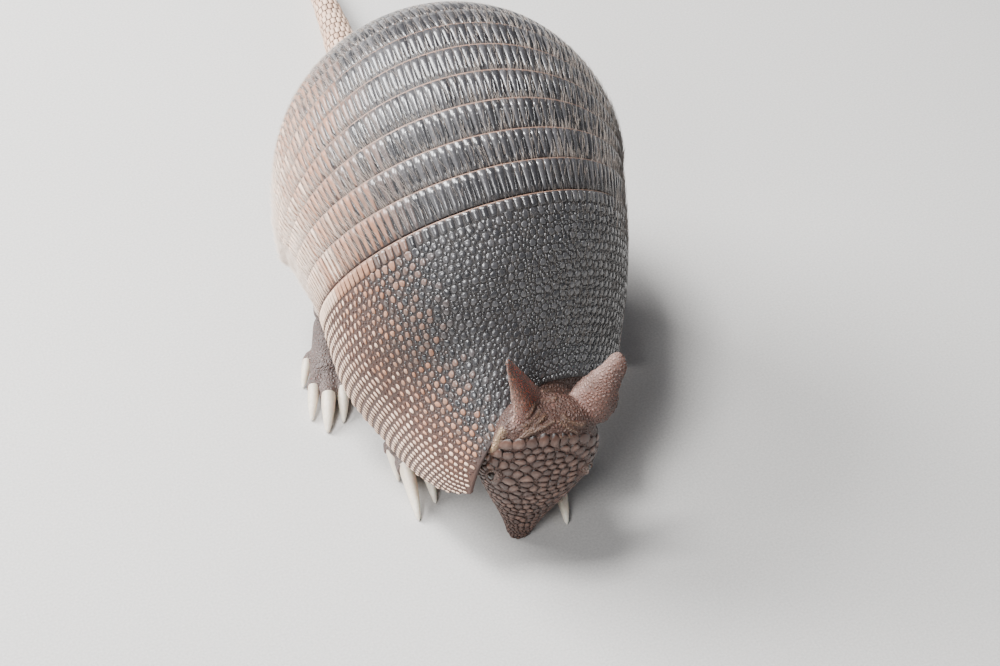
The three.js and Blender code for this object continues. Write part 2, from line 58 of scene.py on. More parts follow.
def placeCamera():
    a, e, roll = (math.radians(camera[k]) for k in ("azimuth", "elevation", "roll"))
    back = Vector((math.sin(a) * math.cos(e), -math.cos(a) * math.cos(e), math.sin(e)))
    right = Vector((math.cos(a), math.sin(a), 0))
    up = back.cross(right)
    tiltedRight = right * math.cos(roll) + up * math.sin(roll)
    tiltedUp = up * math.cos(roll) - right * math.sin(roll)
    place = Vector(camera["target"]) + back * camera["distance"]
    data = bpy.data.cameras.new("camera")
    data.lens = camera["lens"]
    data.sensor_width = 36
    data.clip_start = 0.05
    obj = bpy.data.objects.new("camera", data)
    bpy.context.scene.collection.objects.link(obj)
    turn = Matrix((tiltedRight, tiltedUp, back)).transposed().to_4x4()
    obj.matrix_world = Matrix.Translation(place) @ turn
    bpy.context.scene.camera = obj


studio = {
    "lamps": [  # name, place, size, watts
        ("skyLeft", (-1.0, 0.75, 0.95), 1.0, 98),
        ("overhead", (-0.42, 0.0, 1.45), 0.34, 36),
        ("keyFront", (-0.85, -1.0, 1.0), 0.5, 17),
    ],
    "aim": (0, -0.08, 0.09),
    "world": (0.85, 0.9, 1.0, 1),
    "worldStrength": 0.2,
    "floorSize": 6,
    "floorColour": (0.50, 0.487, 0.47, 1),
    "floorStain": (0.46, 0.448, 0.432, 1),
}


def makeStudio():
    for name, place, size, watts in studio["lamps"]:
        bpy.ops.object.light_add(type="AREA", location=place)
        lamp = bpy.context.object
        lamp.name = name
        lamp.data.size = size
        lamp.data.energy = watts
        away = Vector(place) - Vector(studio["aim"])
        lamp.rotation_euler = away.to_track_quat("Z", "Y").to_euler()
    world = bpy.data.worlds.new("softRoom")
    world.use_nodes = True
    background = world.node_tree.nodes["Background"]
    background.inputs["Color"].default_value = studio["world"]
    background.inputs["Strength"].default_value = studio["worldStrength"]
    bpy.context.scene.world = world
    bpy.ops.mesh.primitive_plane_add(size=studio["floorSize"])
    floor = bpy.context.object
    floor.name = "floor"
    floor.data.materials.append(floorMaterial())


def nodeMaterial(name, roughness=0.5, **sockets):
    # a Principled material, and a short way to add and link its nodes
    material = bpy.data.materials.new(name)
    material.use_nodes = True
    tree = material.node_tree
    shader = tree.nodes["Principled BSDF"]
    shader.inputs["Roughness"].default_value = roughness
    for socket, value in sockets.items():
        shader.inputs[socket.replace("_", " ")].default_value = value
    return material, tree, shader


def feed(tree, socket, value):
    # a link from another node, or a plain value
    if isinstance(value, bpy.types.NodeSocket):
        tree.links.new(value, socket)
    else:
        socket.default_value = value


def addNode(tree, kind, settings=None, **inputs):
    node = tree.nodes.new(kind)
    for key, value in (settings or {}).items():
        setattr(node, key, value)
    for key, value in inputs.items():
        feed(tree, node.inputs[key.replace("_", " ")], value)
    return node


def readAttribute(tree, name):
    return addNode(tree, "ShaderNodeAttribute", {"attribute_name": name}).outputs["Fac"]


def blendColours(tree, share, first, second, kind="MIX"):
    node = addNode(tree, "ShaderNodeMix", {"data_type": "RGBA", "blend_type": kind})
    for index, value in ((0, share), (6, first), (7, second)):  # the colour sockets of the Mix node
        feed(tree, node.inputs[index], value)
    return node.outputs[2]


def calculate(tree, operation, *values, clamp=False):
    node = addNode(tree, "ShaderNodeMath", {"operation": operation, "use_clamp": clamp})
    for socket, value in zip(node.inputs, values):
        feed(tree, socket, value)
    return node.outputs[0]


def remap(tree, value, start=0.0, end=1.0, kind="LINEAR", **to):
    # 0 at start and 1 at end, unless To_Min and To_Max say otherwise
    return addNode(tree, "ShaderNodeMapRange", {"interpolation_type": kind}, Value=value, From_Min=start, From_Max=end,
                   **to).outputs["Result"]


def makeGroup(name, inputs, outputs):
    group = bpy.data.node_groups.new(name, "ShaderNodeTree")
    for key, kind, value in inputs:
        socket = group.interface.new_socket(key, in_out="INPUT", socket_type=kind)
        if value is not None:
            socket.default_value = value
    for key, kind in outputs:
        group.interface.new_socket(key, in_out="OUTPUT", socket_type=kind)
    return group, group.nodes.new("NodeGroupInput").outputs, group.nodes.new("NodeGroupOutput").inputs


def mottleGroup():
    # soft blotches and fine grain that change a colour
    group, given, wanted = makeGroup(
        "mottle",
        [("Colour", "NodeSocketColor", None), ("Stain", "NodeSocketColor", None),
         ("Blotch Size", "NodeSocketFloat", 60.0), ("Amount", "NodeSocketFloat", 0.5)],
        [("Colour", "NodeSocketColor"), ("Grain", "NodeSocketFloat")],
    )
    place = addNode(group, "ShaderNodeTexCoord").outputs["Object"]
    broad = addNode(group, "ShaderNodeTexNoise", None, Vector=place, Scale=given["Blotch Size"], Detail=5.0)
    fine = addNode(group, "ShaderNodeTexNoise", None, Vector=place, Scale=900.0, Detail=3.0)
    share = calculate(group, "MULTIPLY", remap(group, broad.outputs["Fac"], 0.38, 0.68), given["Amount"])
    stained = blendColours(group, share, given["Colour"], given["Stain"])
    grain = calculate(group, "MULTIPLY_ADD", fine.outputs["Fac"], 0.5, 0.75)
    shade = addNode(group, "ShaderNodeCombineColor", None, Red=grain, Green=grain, Blue=grain)
    group.links.new(blendColours(group, 1.0, stained, shade.outputs["Color"], "MULTIPLY"), wanted["Colour"])
    group.links.new(fine.outputs["Fac"], wanted["Grain"])
    return group


def pebbleGroup():
    # small raised grains with furrows between them
    group, given, wanted = makeGroup(
        "pebble",
        [("Grain Size", "NodeSocketFloat", 600.0), ("Stretch", "NodeSocketVector", (1, 1, 1))],
        [("Height", "NodeSocketFloat"), ("Furrow", "NodeSocketFloat")],
    )
    place = addNode(group, "ShaderNodeTexCoord").outputs["Object"]
    mapping = addNode(group, "ShaderNodeMapping", {"vector_type": "POINT"}, Vector=place, Scale=given["Stretch"])
    cells = addNode(group, "ShaderNodeTexVoronoi", {"feature": "DISTANCE_TO_EDGE"}, Vector=mapping.outputs["Vector"],
                    Scale=given["Grain Size"])
    height = remap(group, cells.outputs["Distance"], 0.0, 0.42, "SMOOTHERSTEP")
    group.links.new(height, wanted["Height"])
    group.links.new(calculate(group, "SUBTRACT", 1.0, height), wanted["Furrow"])
    return group


mottle = mottleGroup()
pebble = pebbleGroup()


def placeGroup(tree, group, **inputs):
    return addNode(tree, "ShaderNodeGroup", {"node_tree": group}, **inputs).outputs


def addBump(tree, shader, height, strength, distance):
    bump = addNode(tree, "ShaderNodeBump", None, Height=height, Strength=strength, Distance=distance)
    tree.links.new(bump.outputs["Normal"], shader.inputs["Normal"])


def floorMaterial():
    material, tree, shader = nodeMaterial("paleFloor", 0.85)
    colours = placeGroup(tree, mottle, Colour=studio["floorColour"], Stain=studio["floorStain"], Blotch_Size=3.0,
                         Amount=0.5)
    tree.links.new(colours["Colour"], shader.inputs["Base Color"])
    return material


scuteLook = {
    "back": (0.026, 0.0255, 0.028, 1),
    "backWorn": (0.085, 0.082, 0.086, 1),
    "flank": (0.31, 0.15, 0.09, 1),
    "flankStain": (0.54, 0.285, 0.175, 1),
    "low": (0.86, 0.63, 0.48, 1),
    # the two foot colours are painted shade, darker than the skin between the scutes
    "foot": (0.045, 0.018, 0.0125, 1),
    "backFootShade": (0.006, 0.0055, 0.006, 1),
    "roughness": (0.13, 0.36),  # on the dark back, from the smooth grain to the rough
    "flankRougher": 0.34,
}


def scuteMaterial():
    # flank runs from 0 on the dark back to 1 on the pale sides, its later fade on the animal's left side being painted
    # shade, crown from a scute's foot to its top; the foot colours are painted shade in the gaps
    material, tree, shader = nodeMaterial("scuteHorn", 0.34)
    flank, crown, tone = (readAttribute(tree, k) for k in ("flank", "crown", "tone"))
    back = blendColours(tree, tone, scuteLook["back"], scuteLook["backWorn"])
    side = blendColours(tree, tone, scuteLook["flankStain"], scuteLook["flank"])
    half = calculate(tree, "MULTIPLY", flank, 2.0, clamp=True)  # full by the middle of the fade
    lower = calculate(tree, "MULTIPLY_ADD", flank, 3.2, -2.3, clamp=True)  # only where the flank is palest
    shine = calculate(tree, "MULTIPLY_ADD", half, -0.65, 1.0)  # the flanks shine less
    tree.links.new(shine, shader.inputs["Specular IOR Level"])
    lit = blendColours(tree, lower, blendColours(tree, half, back, side), scuteLook["low"])
    foot = blendColours(tree, half, scuteLook["backFootShade"], scuteLook["foot"])
    # scutes with a negative tone are drawn towards the foot colour as painted shade
    sunken = calculate(tree, "MULTIPLY", tone, -2.5, clamp=True)  # the sunken scutes have a negative tone
    top = blendColours(tree, sunken, lit, foot)
    # each scute darkens towards its foot as painted shade
    whole = blendColours(tree, remap(tree, crown, 0.4, 0.92, "SMOOTHSTEP"), foot, top)
    colours = placeGroup(tree, mottle, Colour=whole, Stain=foot, Blotch_Size=140.0, Amount=0.3)
    tree.links.new(colours["Colour"], shader.inputs["Base Color"])
    wornGloss = remap(tree, colours["Grain"], To_Min=scuteLook["roughness"][0], To_Max=scuteLook["roughness"][1])
    rough = calculate(tree, "MULTIPLY_ADD", flank, scuteLook["flankRougher"], wornGloss)
    tree.links.new(rough, shader.inputs["Roughness"])
    addBump(tree, shader, colours["Grain"], 0.3, 0.0002)
    return material


headScaleLook = {
    "dark": (0.046, 0.021, 0.015, 1),
    "pale": (0.12, 0.057, 0.038, 1),
    "wornHighlight": (0.24, 0.14, 0.105, 1),
    # the foot colour is painted shade between the scales
    "foot": (0.006, 0.0034, 0.0027, 1),
}


def headScaleMaterial():
    # each scale is dark at its edge and paler in its middle: its near-black foot is painted shade, and the pale top of
    # some scales is wear and painted highlight
    material, tree, shader = nodeMaterial("headScaleHorn", 0.42, Specular_IOR_Level=0.55)
    crown, tone = (readAttribute(tree, k) for k in ("crown", "tone"))
    middle = blendColours(tree, tone, headScaleLook["dark"], headScaleLook["pale"])
    # wear and a painted highlight lighten the top of some scales
    wearAndHighlight = calculate(tree, "MULTIPLY", remap(tree, crown, 0.94), tone)
    top = blendColours(tree, wearAndHighlight, middle, headScaleLook["wornHighlight"])
    # painted shade darkens each scale towards its foot
    whole = blendColours(tree, remap(tree, crown, 0.55, 0.97, "SMOOTHSTEP"), headScaleLook["foot"], top)
    colours = placeGroup(tree, mottle, Colour=whole, Stain=headScaleLook["dark"], Blotch_Size=260.0, Amount=0.55)
    tree.links.new(colours["Colour"], shader.inputs["Base Color"])
    addBump(tree, shader, colours["Grain"], 0.5, 0.0003)
    return material


plateLook = {
    "back": (0.024, 0.021, 0.021, 1),
    "flank": (0.085, 0.038, 0.026, 1),
    "seam": (0.34, 0.20, 0.145, 1),
}


def plateMaterial():
    # the skin between the scutes; its dark back reaches further down the animal's left side as painted shade
    material, tree, shader = nodeMaterial("scuteSkin", 0.5)
    base = blendColours(tree, readAttribute(tree, "flank"), plateLook["back"], plateLook["flank"])
    seamed = blendColours(tree, readAttribute(tree, "seam"), base, plateLook["seam"])
    colours = placeGroup(tree, mottle, Colour=seamed, Stain=plateLook["back"], Blotch_Size=180.0, Amount=0.35)
    grains = placeGroup(tree, pebble, Grain_Size=1500.0)
    tree.links.new(colours["Colour"], shader.inputs["Base Color"])
    addBump(tree, shader, grains["Height"], 0.4, 0.0002)
    return material


skinLook = {
    # the body's dark brown is partly painted shade, for the nape in the ears' shadow
    "body": (0.105, 0.048, 0.034, 1),
    "bodyStain": (0.045, 0.024, 0.018, 1),
    "ear": (0.23, 0.115, 0.09, 1),
    # painted highlight and painted shade for the strips up the ears
    "earHighlight": (0.62, 0.39, 0.33, 1),
    "earShade": (0.07, 0.032, 0.024, 1),
    "limb": (0.16, 0.12, 0.108, 1),
    "fold": (0.56, 0.37, 0.22, 1),
    "lid": (0.48, 0.36, 0.31, 1),
    # painted shade for the furrows between the skin's grains
    "furrow": (0.03, 0.016, 0.012, 1),
    "grains": 620.0,
}


def skinMaterial():
    material, tree, shader = nodeMaterial("pebbledSkin", 0.55, Subsurface_Weight=0.04)
    limb, ear, pale, dark, fold, lid = (readAttribute(tree, k) for k in ("limb", "ear", "pale", "dark", "fold", "lid"))
    base = blendColours(tree, limb, skinLook["body"], skinLook["limb"])
    # the ears get a painted highlight strip and a painted shade strip
    earHighlight = blendColours(tree, pale, skinLook["ear"], skinLook["earHighlight"])
    earShaded = blendColours(tree, dark, earHighlight, skinLook["earShade"])
    toned = blendColours(tree, ear, base, earShaded)
    folded = blendColours(tree, fold, toned, skinLook["fold"])
    lidded = blendColours(tree, calculate(tree, "MULTIPLY", lid, 0.4), folded, skinLook["lid"])
    colours = placeGroup(tree, mottle, Colour=lidded, Stain=skinLook["bodyStain"], Blotch_Size=110.0, Amount=0.5)
    grains = placeGroup(tree, pebble, Grain_Size=skinLook["grains"])
    # the furrows between the grains are darkened as painted shade
    furrow = calculate(tree, "MULTIPLY", grains["Furrow"], 0.55)
    furrowShaded = blendColours(tree, furrow, colours["Colour"], skinLook["furrow"])
    tree.links.new(furrowShaded, shader.inputs["Base Color"])
    addBump(tree, shader, grains["Height"], 0.9, 0.0007)
    return material


clawLook = {"tip": (0.86, 0.78, 0.66, 1), "root": (0.50, 0.40, 0.31, 1), "streak": (0.62, 0.50, 0.38, 1)}


def clawMaterial():
    material, tree, shader = nodeMaterial("clawHorn", 0.38, Subsurface_Weight=0.08)
    base = blendColours(tree, readAttribute(tree, "reach"), clawLook["root"], clawLook["tip"])
    colours = placeGroup(tree, mottle, Colour=base, Stain=clawLook["streak"], Blotch_Size=220.0, Amount=0.6)
    tree.links.new(colours["Colour"], shader.inputs["Base Color"])
    ridges = addNode(tree, "ShaderNodeTexNoise", None, Scale=40.0)
    tree.links.new(addNode(tree, "ShaderNodeUVMap", {"uv_map": "lengthwise"}).outputs["UV"], ridges.inputs["Vector"])
    addBump(tree, shader, ridges.outputs["Fac"], 0.4, 0.0003)
    return material


eyeLook = {"iris": (0.012, 0.009, 0.008, 1), "fleck": (0.03, 0.018, 0.012, 1)}


def eyeMaterial():
    material, tree, shader = nodeMaterial("wetEye", 0.12, Specular_IOR_Level=0.3, Coat_Weight=0.15)
    colours = placeGroup(tree, mottle, Colour=eyeLook["iris"], Stain=eyeLook["fleck"], Blotch_Size=300.0, Amount=0.6)
    tree.links.new(colours["Colour"], shader.inputs["Base Color"])
    return material


hairLook = {
    "root": (0.46, 0.34, 0.27, 1),
    "tip": (0.88, 0.78, 0.69, 1),
    "dim": (0.085, 0.078, 0.075, 1),
    "warm": (0.60, 0.45, 0.34, 1),
}


def hairMaterial():
    material, tree, shader = nodeMaterial("coarseHair", 0.45)
    base = blendColours(tree, readAttribute(tree, "reach"), hairLook["root"], hairLook["tip"])
    toned = blendColours(tree, calculate(tree, "MULTIPLY", readAttribute(tree, "tone"), 0.4), base, hairLook["warm"])
    # hairs are dimmed where the shell is dark, and on the animal's left side this dimming is painted shade
    dimmed = blendColours(tree, readAttribute(tree, "pale"), hairLook["dim"], toned)
    tree.links.new(dimmed, shader.inputs["Base Color"])
    return material


def stationRows(keys, rows):
    return [dict(zip(keys, row)) for row in rows]


def smoothBetween(stations, at, key):
    # a smooth value between stations, by cubic Hermite pieces
    places = np.array([s["at"] for s in stations], float)
    values = np.array([s[key] for s in stations], float)
    last = len(places) - 1
    before = np.maximum(np.arange(last + 1) - 1, 0)
    after = np.minimum(np.arange(last + 1) + 1, last)
    slopes = (values[after] - values[before]) / (places[after] - places[before])
    at = np.asarray(at, float)
    i = np.clip(np.searchsorted(places, at, side="left") - 1, 0, last - 1)
    span = places[i + 1] - places[i]
    t = np.clip((at - places[i]) / span, 0, 1)
    return ((2 * t**3 - 3 * t**2 + 1) * values[i] + (t**3 - 2 * t**2 + t) * span * slopes[i]
            + (3 * t**2 - 2 * t**3) * values[i + 1] + (t**3 - t**2) * span * slopes[i + 1])


def smoothStep(low, high, value):
    t = np.clip((value - low) / (high - low), 0, 1)
    return t * t * (3 - 2 * t)


def lengthsAlong(points):
    return np.concatenate([[0], np.cumsum(np.linalg.norm(np.diff(points, axis=0), axis=1))])


class SmoothCurve:
    # a centripetal curve through points, read by its share of length
    def __init__(self, points, samples=60):
        p = np.array(points, float)
        p = np.vstack([2 * p[0] - p[1], p, 2 * p[-1] - p[-2]])
        rows = []
        for i in range(1, len(p) - 2):
            four = p[i - 1:i + 3]
            gaps = np.maximum(np.linalg.norm(np.diff(four, axis=0), axis=1) ** 0.5, 1e-4)
            start = ((four[1] - four[0]) / gaps[0] - (four[2] - four[0]) / (gaps[0] + gaps[1])
                     + (four[2] - four[1]) / gaps[1]) * gaps[1]
            end = ((four[2] - four[1]) / gaps[1] - (four[3] - four[1]) / (gaps[1] + gaps[2])
                   + (four[3] - four[2]) / gaps[2]) * gaps[1]
            t = np.linspace(0, 1, samples, endpoint=False)[:, None]
            rows.append((2 * t**3 - 3 * t**2 + 1) * four[1] + (t**3 - 2 * t**2 + t) * start
                        + (3 * t**2 - 2 * t**3) * four[2] + (t**3 - t**2) * end)
        self.points = np.vstack([*rows, p[-2]])
        self.share = lengthsAlong(self.points)
        self.length = self.share[-1]
        self.share /= self.length

    def place(self, at):
        at = np.asarray(at, float)
        return np.stack([np.interp(at, self.share, self.points[:, k]) for k in range(3)], -1)

    def way(self, at):
        at = np.asarray(at, float)
        step = 0.004
        found = self.place(np.clip(at + step, 0, 1)) - self.place(np.clip(at - step, 0, 1))
        return found / np.linalg.norm(found, axis=-1, keepdims=True)


def unit(v):
    return v / np.maximum(np.linalg.norm(v, axis=-1, keepdims=True), 1e-12)


def clearSelection():
    if bpy.context.object and bpy.context.object.mode != "OBJECT":
        bpy.ops.object.mode_set(mode="OBJECT")
    bpy.ops.object.select_all(action="DESELECT")


def makeActive(obj):
    clearSelection()
    obj.select_set(True)
    bpy.context.view_layer.objects.active = obj


def readVectors(obj, key="co"):
    values = np.zeros(len(obj.data.vertices) * 3, np.float32)
    obj.data.vertices.foreach_get(key, values)
    return values.reshape(-1, 3).astype(float)


def readPlaces(obj):
    # in millimetres, as the sections give them
    return readVectors(obj) / mm - rowOffset


def writePlaces(obj, places):
    # nothing goes under the floor
    places[:, 2] = np.maximum(places[:, 2], 0)
    obj.data.vertices.foreach_set("co", ((places + rowOffset) * mm).astype(np.float32).ravel())
    obj.data.update()


def writeValue(mesh, key, value):
    layer = mesh.attributes.new(key, "FLOAT", "POINT")
    layer.data.foreach_set("value", np.asarray(value, np.float32))


def meshFromArrays(name, places, faceSets, values, bakeMap):
    # faceSets are index arrays of triangles or quads, bakeMap has a spot for each vertex
    mesh = bpy.data.meshes.new(name)
    mesh.vertices.add(len(places))
    mesh.vertices.foreach_set("co", ((places + rowOffset) * mm).astype(np.float32).ravel())
    loops = np.concatenate([f.ravel() for f in faceSets])
    sizes = np.concatenate([np.full(len(f), f.shape[1]) for f in faceSets])
    mesh.loops.add(len(loops))
    mesh.loops.foreach_set("vertex_index", loops.astype(np.int32))
    mesh.polygons.add(len(sizes))
    mesh.polygons.foreach_set("loop_start", np.concatenate([[0], np.cumsum(sizes)[:-1]]).astype(np.int32))
    mesh.update(calc_edges=True)
    mesh.polygons.foreach_set("use_smooth", np.ones(len(sizes), bool))
    for key, value in values.items():
        writeValue(mesh, key, value)
    layer = mesh.uv_layers.new(name="OFBake")
    layer.data.foreach_set("uv", bakeMap[loops].astype(np.float32).ravel())
    mesh.validate()
    obj = bpy.data.objects.new(name, mesh)
    bpy.context.scene.collection.objects.link(obj)
    return obj


def readTemplate(obj):
    # the modelled shape's vertices and its faces by size, after which it is removed
    mesh = obj.data
    places = np.array([v.co for v in mesh.vertices], float)
    faces = {}
    for polygon in mesh.polygons:
        faces.setdefault(len(polygon.vertices), []).append(list(polygon.vertices))
    bpy.data.objects.remove(obj)
    return places, [np.array(f) for f in faces.values()]


def repeatFaces(faceSets, count, vertices):
    shift = np.arange(count)[:, None, None] * vertices
    return [(f[None] + shift).reshape(-1, f.shape[1]) for f in faceSets]


def closeEnds(merge=1e-5):
    # the active tube's seam is merged, its open ends filled and its faces turned outward
    bpy.ops.object.mode_set(mode="EDIT")
    bpy.ops.mesh.select_all(action="SELECT")
    bpy.ops.mesh.remove_doubles(threshold=merge)
    bpy.ops.mesh.select_all(action="DESELECT")
    bpy.ops.mesh.select_non_manifold()
    bpy.ops.mesh.edge_face_add()
    bpy.ops.mesh.select_all(action="SELECT")
    bpy.ops.mesh.normals_make_consistent(inside=False)
    bpy.ops.object.mode_set(mode="OBJECT")


def gridSheet(name, columns, rows, place, closed=False):
    # a flat grid bent over place(u, v), u and v from 0 to 1
    clearSelection()
    bpy.ops.mesh.primitive_grid_add(x_subdivisions=columns, y_subdivisions=rows, size=2)
    obj = bpy.context.object
    obj.name = name
    flat = readVectors(obj)
    u, v = (flat[:, 0] + 1) / 2, (flat[:, 1] + 1) / 2
    bent = (place(u, v) + rowOffset) * mm
    obj.data.vertices.foreach_set("co", bent.astype(np.float32).ravel())
    obj.data.update()
    if closed:
        closeEnds()
    return obj, u, v


def applyModifier(obj, kind, **settings):
    makeActive(obj)
    modifier = obj.modifiers.new(kind.lower(), kind)
    for key, value in settings.items():
        setattr(modifier, key, value)
    bpy.ops.object.modifier_apply(modifier=modifier.name)


def finishPiece(obj, material, replaced=()):
    obj.data.materials.clear()
    obj.data.materials.append(material)
    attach(obj, "root")
    if replaced:
        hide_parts(*replaced)


shell = {
    "shoulder": 84,  # length along the back of the shoulder shield, of each band and of the rump shield
    "pitch": 15,
    "bands": 9,
    "rump": 100,
    "thickness": 4.5,
    "bandCut": 0.5,  # gap between two bands
    "bandLift": 0.9,
    "frontLobe": 9,  # how far the sides of the shoulder shield reach forward, and to which share of the length
    "frontLobeEnd": 0.12,
    "back": [  # places on the line of the back
        (0, -46, 85.5), (2.2, -30.4, 111.5), (1.2, -17.8, 137.4), (0, 2.4, 157.9), (0, 27.3, 172.9),
        (1.1, 53.8, 184.3), (3.8, 82.2, 188), (7.2, 109.4, 179), (10.3, 132.1, 161.4), (12.4, 149.6, 138.5),
        (13.5, 162.1, 112.4), (13.8, 170.5, 84.6),
    ],
    "stations": [  # along the back, half width, height over the widest level, lean, turn, reach, belly depth, its lean
        (0, 43.5, 36, 5, -19, 92, 19, 1),
        (0.03, 48.5, 48, 11, -14.5, 105, 21, 3),
        (0.09, 57.5, 67, 19, -7, 111, 25, 7),
        (0.18, 69, 82, 24.5, -4.5, 108, 37, 10),
        (0.27, 74, 82, 27, -1.2, 102, 47, 11),
        (0.36, 78.5, 87, 22.5, 1, 102, 53, 9),
        (0.46, 82, 95, 10, 4, 103, 53, 4),
        (0.55, 82.7, 95, -1.5, 6.5, 104, 52, -1),
        (0.64, 81.3, 87, -12, 7.5, 105, 49, -7),
        (0.73, 79.5, 81, -23.5, 7, 105, 43, -17),
        (0.82, 72.5, 75, -36, 6, 105, 35, -31),
        (0.91, 60, 64, -49, 4, 105, 25, -46),
        (1, 42, 44, -63, 0, 105, 17, -62),
    ],
}
shellStations = stationRows(("at", "halfWidth", "arch", "lean", "yaw", "reach", "belly", "sag"), shell["stations"])
shellLength = shell["shoulder"] + shell["bands"] * shell["pitch"] + shell["rump"]
shellStep = 1e-3  # of the shell's length, for its slopes
backCurve = SmoothCurve(shell["back"])


def shellValue(at, key):
    return smoothBetween(shellStations, at, key)


def shellPoint(at, angle, rise=0.0, withBelly=False):
    at, angle, rise = np.broadcast_arrays(*(np.asarray(x, float) for x in (at, angle, rise)))
    yaw, lean, sag = (np.radians(shellValue(at, k)) for k in ("yaw", "lean", "sag"))

    def down(tip):
        return np.stack([np.sin(yaw) * np.sin(tip), np.cos(yaw) * np.sin(tip), -np.cos(tip)], -1)

    onCurve = np.clip(at, 0, 1)
    point = backCurve.place(onCurve) + backCurve.way(onCurve) * ((at - onCurve) * shellLength)[..., None]
    lobe = shell["frontLobe"] * np.clip(1 - at / shell["frontLobeEnd"], 0, 1) ** 2 * np.abs(np.sin(angle))
    point = point + np.stack([-np.sin(yaw), -np.cos(yaw), 0 * yaw], -1) * lobe[..., None]
    side = np.stack([np.cos(yaw), -np.sin(yaw), 0 * yaw], -1)
    point = point + side * ((shellValue(at, "halfWidth") + rise) * np.sin(angle))[..., None]
    arch, fall = shellValue(at, "arch"), -np.cos(angle)
    upper = point + down(lean) * (arch + fall * (arch + rise))[..., None]
    if not withBelly:
        return upper
    lower = point + down(lean) * arch[..., None] + down(sag) * (fall * (shellValue(at, "belly") + rise))[..., None]
    return np.where((fall > 0)[..., None], lower, upper)


def surfaceRates(surface, step, at, angle):
    # unit ways along, across and out of a surface, and how many millimetres a step of each takes
    turn = 1e-3
    along = (surface(at + step, angle) - surface(at - step, angle)) / (2 * step)
    across = (surface(at, angle + turn) - surface(at, angle - turn)) / (2 * turn)
    out = unit(np.cross(across, along))
    return unit(along), unit(across), out, np.linalg.norm(along, axis=-1), np.linalg.norm(across, axis=-1)


# the dark back and pale sides are markings, but the dark reaching further down the animal's left side is painted shade
markingsAndShade = {"rightFade": (30, 88), "leftFade": (66, 108), "narrowing": (50, 88)}


def flankShare(angle):
    # 0 on the dark back, 1 on the pale sides; the later fade on the animal's left side is painted shade
    turned = np.degrees(angle)
    right = smoothStep(*markingsAndShade["rightFade"], -turned)
    left = smoothStep(*markingsAndShade["leftFade"], turned)
    return np.maximum(right, left)


def lowShare(angle, loose=0.0):
    # 0 on the back, 1 where the scutes are smallest low on the flanks
    return smoothStep(*markingsAndShade["narrowing"], np.abs(np.degrees(angle)) + loose)


def countAlong(line, angle, pitches):
    # the width of a scute at each point of a line across the shell, and how many fit in up to there
    size = pitches["pitch"] + (pitches["lowPitch"] - pitches["pitch"]) * lowShare(angle)
    lengths = np.linalg.norm(np.diff(line, axis=0), axis=1)
    return size, np.concatenate([[0], np.cumsum(lengths / (size[1:] + size[:-1]) * 2)])


def rowPlaces(at, pitches, shift=0.0):
    # angles and widths of one row of scutes across the shell, closer together low on the flanks
    reach = math.radians(float(shellValue(at, "reach")))
    angles = np.linspace(-reach, reach, 241)
    size, run = countAlong(shellPoint(at, angles), angles, pitches)
    count = max(2, round(run[-1]))
    places = (np.arange(count) + 0.5 + shift) / count
    places = places[places < 1] * run[-1]
    return np.interp(places, run, angles), np.interp(places, run, size)


plates = {
    "sink": 0.35,  # how far a plate lies under the shell's own surface
    "thickness": 2.3,
    "across": 132,  # faces from side to side
    "shieldRows": 60,
    "bandRows": 10,
    "edge": 0.4,
    "seamWidth": 0.8,
    "bandRise": ((0, 0.9, 1), (-0.45, 0.6, 0.35)),  # places along a band and how far it lies off the shell there
}


def bandStart(i):
    return shell["shoulder"] + i * shell["pitch"]


def bandLiftAt(place, i):
    # a band starts a little sunk and rises to its rear edge
    return np.interp((place - bandStart(i)) / shell["pitch"], *plates["bandRise"]) * shell["bandLift"]


def makePlate(name, start, end, rows, lift, node):
    def place(u, v):
        along = start + (end - start) * v
        at = along / shellLength
        reach = np.radians(shellValue(at, "reach"))
        return shellPoint(at, (2 * u - 1) * reach, lift(along) - plates["sink"])

    obj, u, v = gridSheet(name, plates["across"], rows, place)
    along = start + (end - start) * v
    reach = shellValue(along / shellLength, "reach")
    flank = flankShare(np.radians((2 * u - 1) * reach))
    seam = smoothStep(plates["seamWidth"] * 1.6, plates["seamWidth"] * 0.6, end - along)
    writeValue(obj.data, "flank", flank)
    writeValue(obj.data, "seam", seam)
    applyModifier(obj, "SOLIDIFY", thickness=plates["thickness"] * mm, offset=-1.0)
    applyModifier(obj, "BEVEL", width=plates["edge"] * mm, segments=2, limit_method="ANGLE", angle_limit=1.0)
    bpy.ops.object.shade_smooth()
    finishPiece(obj, plateSurface, [node])


def modelDome(sides, top):
    # a low round scute with steep walls; top is the width of its flat crown
    clearSelection()
    bpy.ops.mesh.primitive_circle_add(vertices=sides, radius=0.5, fill_type="NGON")
    bpy.ops.object.mode_set(mode="EDIT")
    bpy.ops.mesh.select_all(action="SELECT")
    bpy.ops.mesh.extrude_region_move(TRANSFORM_OT_translate={"value": (0, 0, 0.66)})
    bpy.ops.transform.resize(value=(0.95, 0.95, 1))
    bpy.ops.mesh.extrude_region_move(TRANSFORM_OT_translate={"value": (0, 0, 0.26)})
    bpy.ops.transform.resize(value=(top, top, 1))
    bpy.ops.mesh.poke(offset=0.08)
    bpy.ops.object.mode_set(mode="OBJECT")
    return dropFloorFaces(bpy.context.object)


def modelGranule():
    # a small scute between the main ones
    clearSelection()
    bpy.ops.mesh.primitive_circle_add(vertices=7, radius=0.5, fill_type="NGON")
    bpy.ops.object.mode_set(mode="EDIT")
    bpy.ops.mesh.select_all(action="SELECT")
    bpy.ops.mesh.extrude_region_move(TRANSFORM_OT_translate={"value": (0, 0, 0.72)})
    bpy.ops.transform.resize(value=(0.86, 0.86, 1))
    bpy.ops.mesh.poke(offset=0.24)
    bpy.ops.object.mode_set(mode="OBJECT")
    return dropFloorFaces(bpy.context.object)


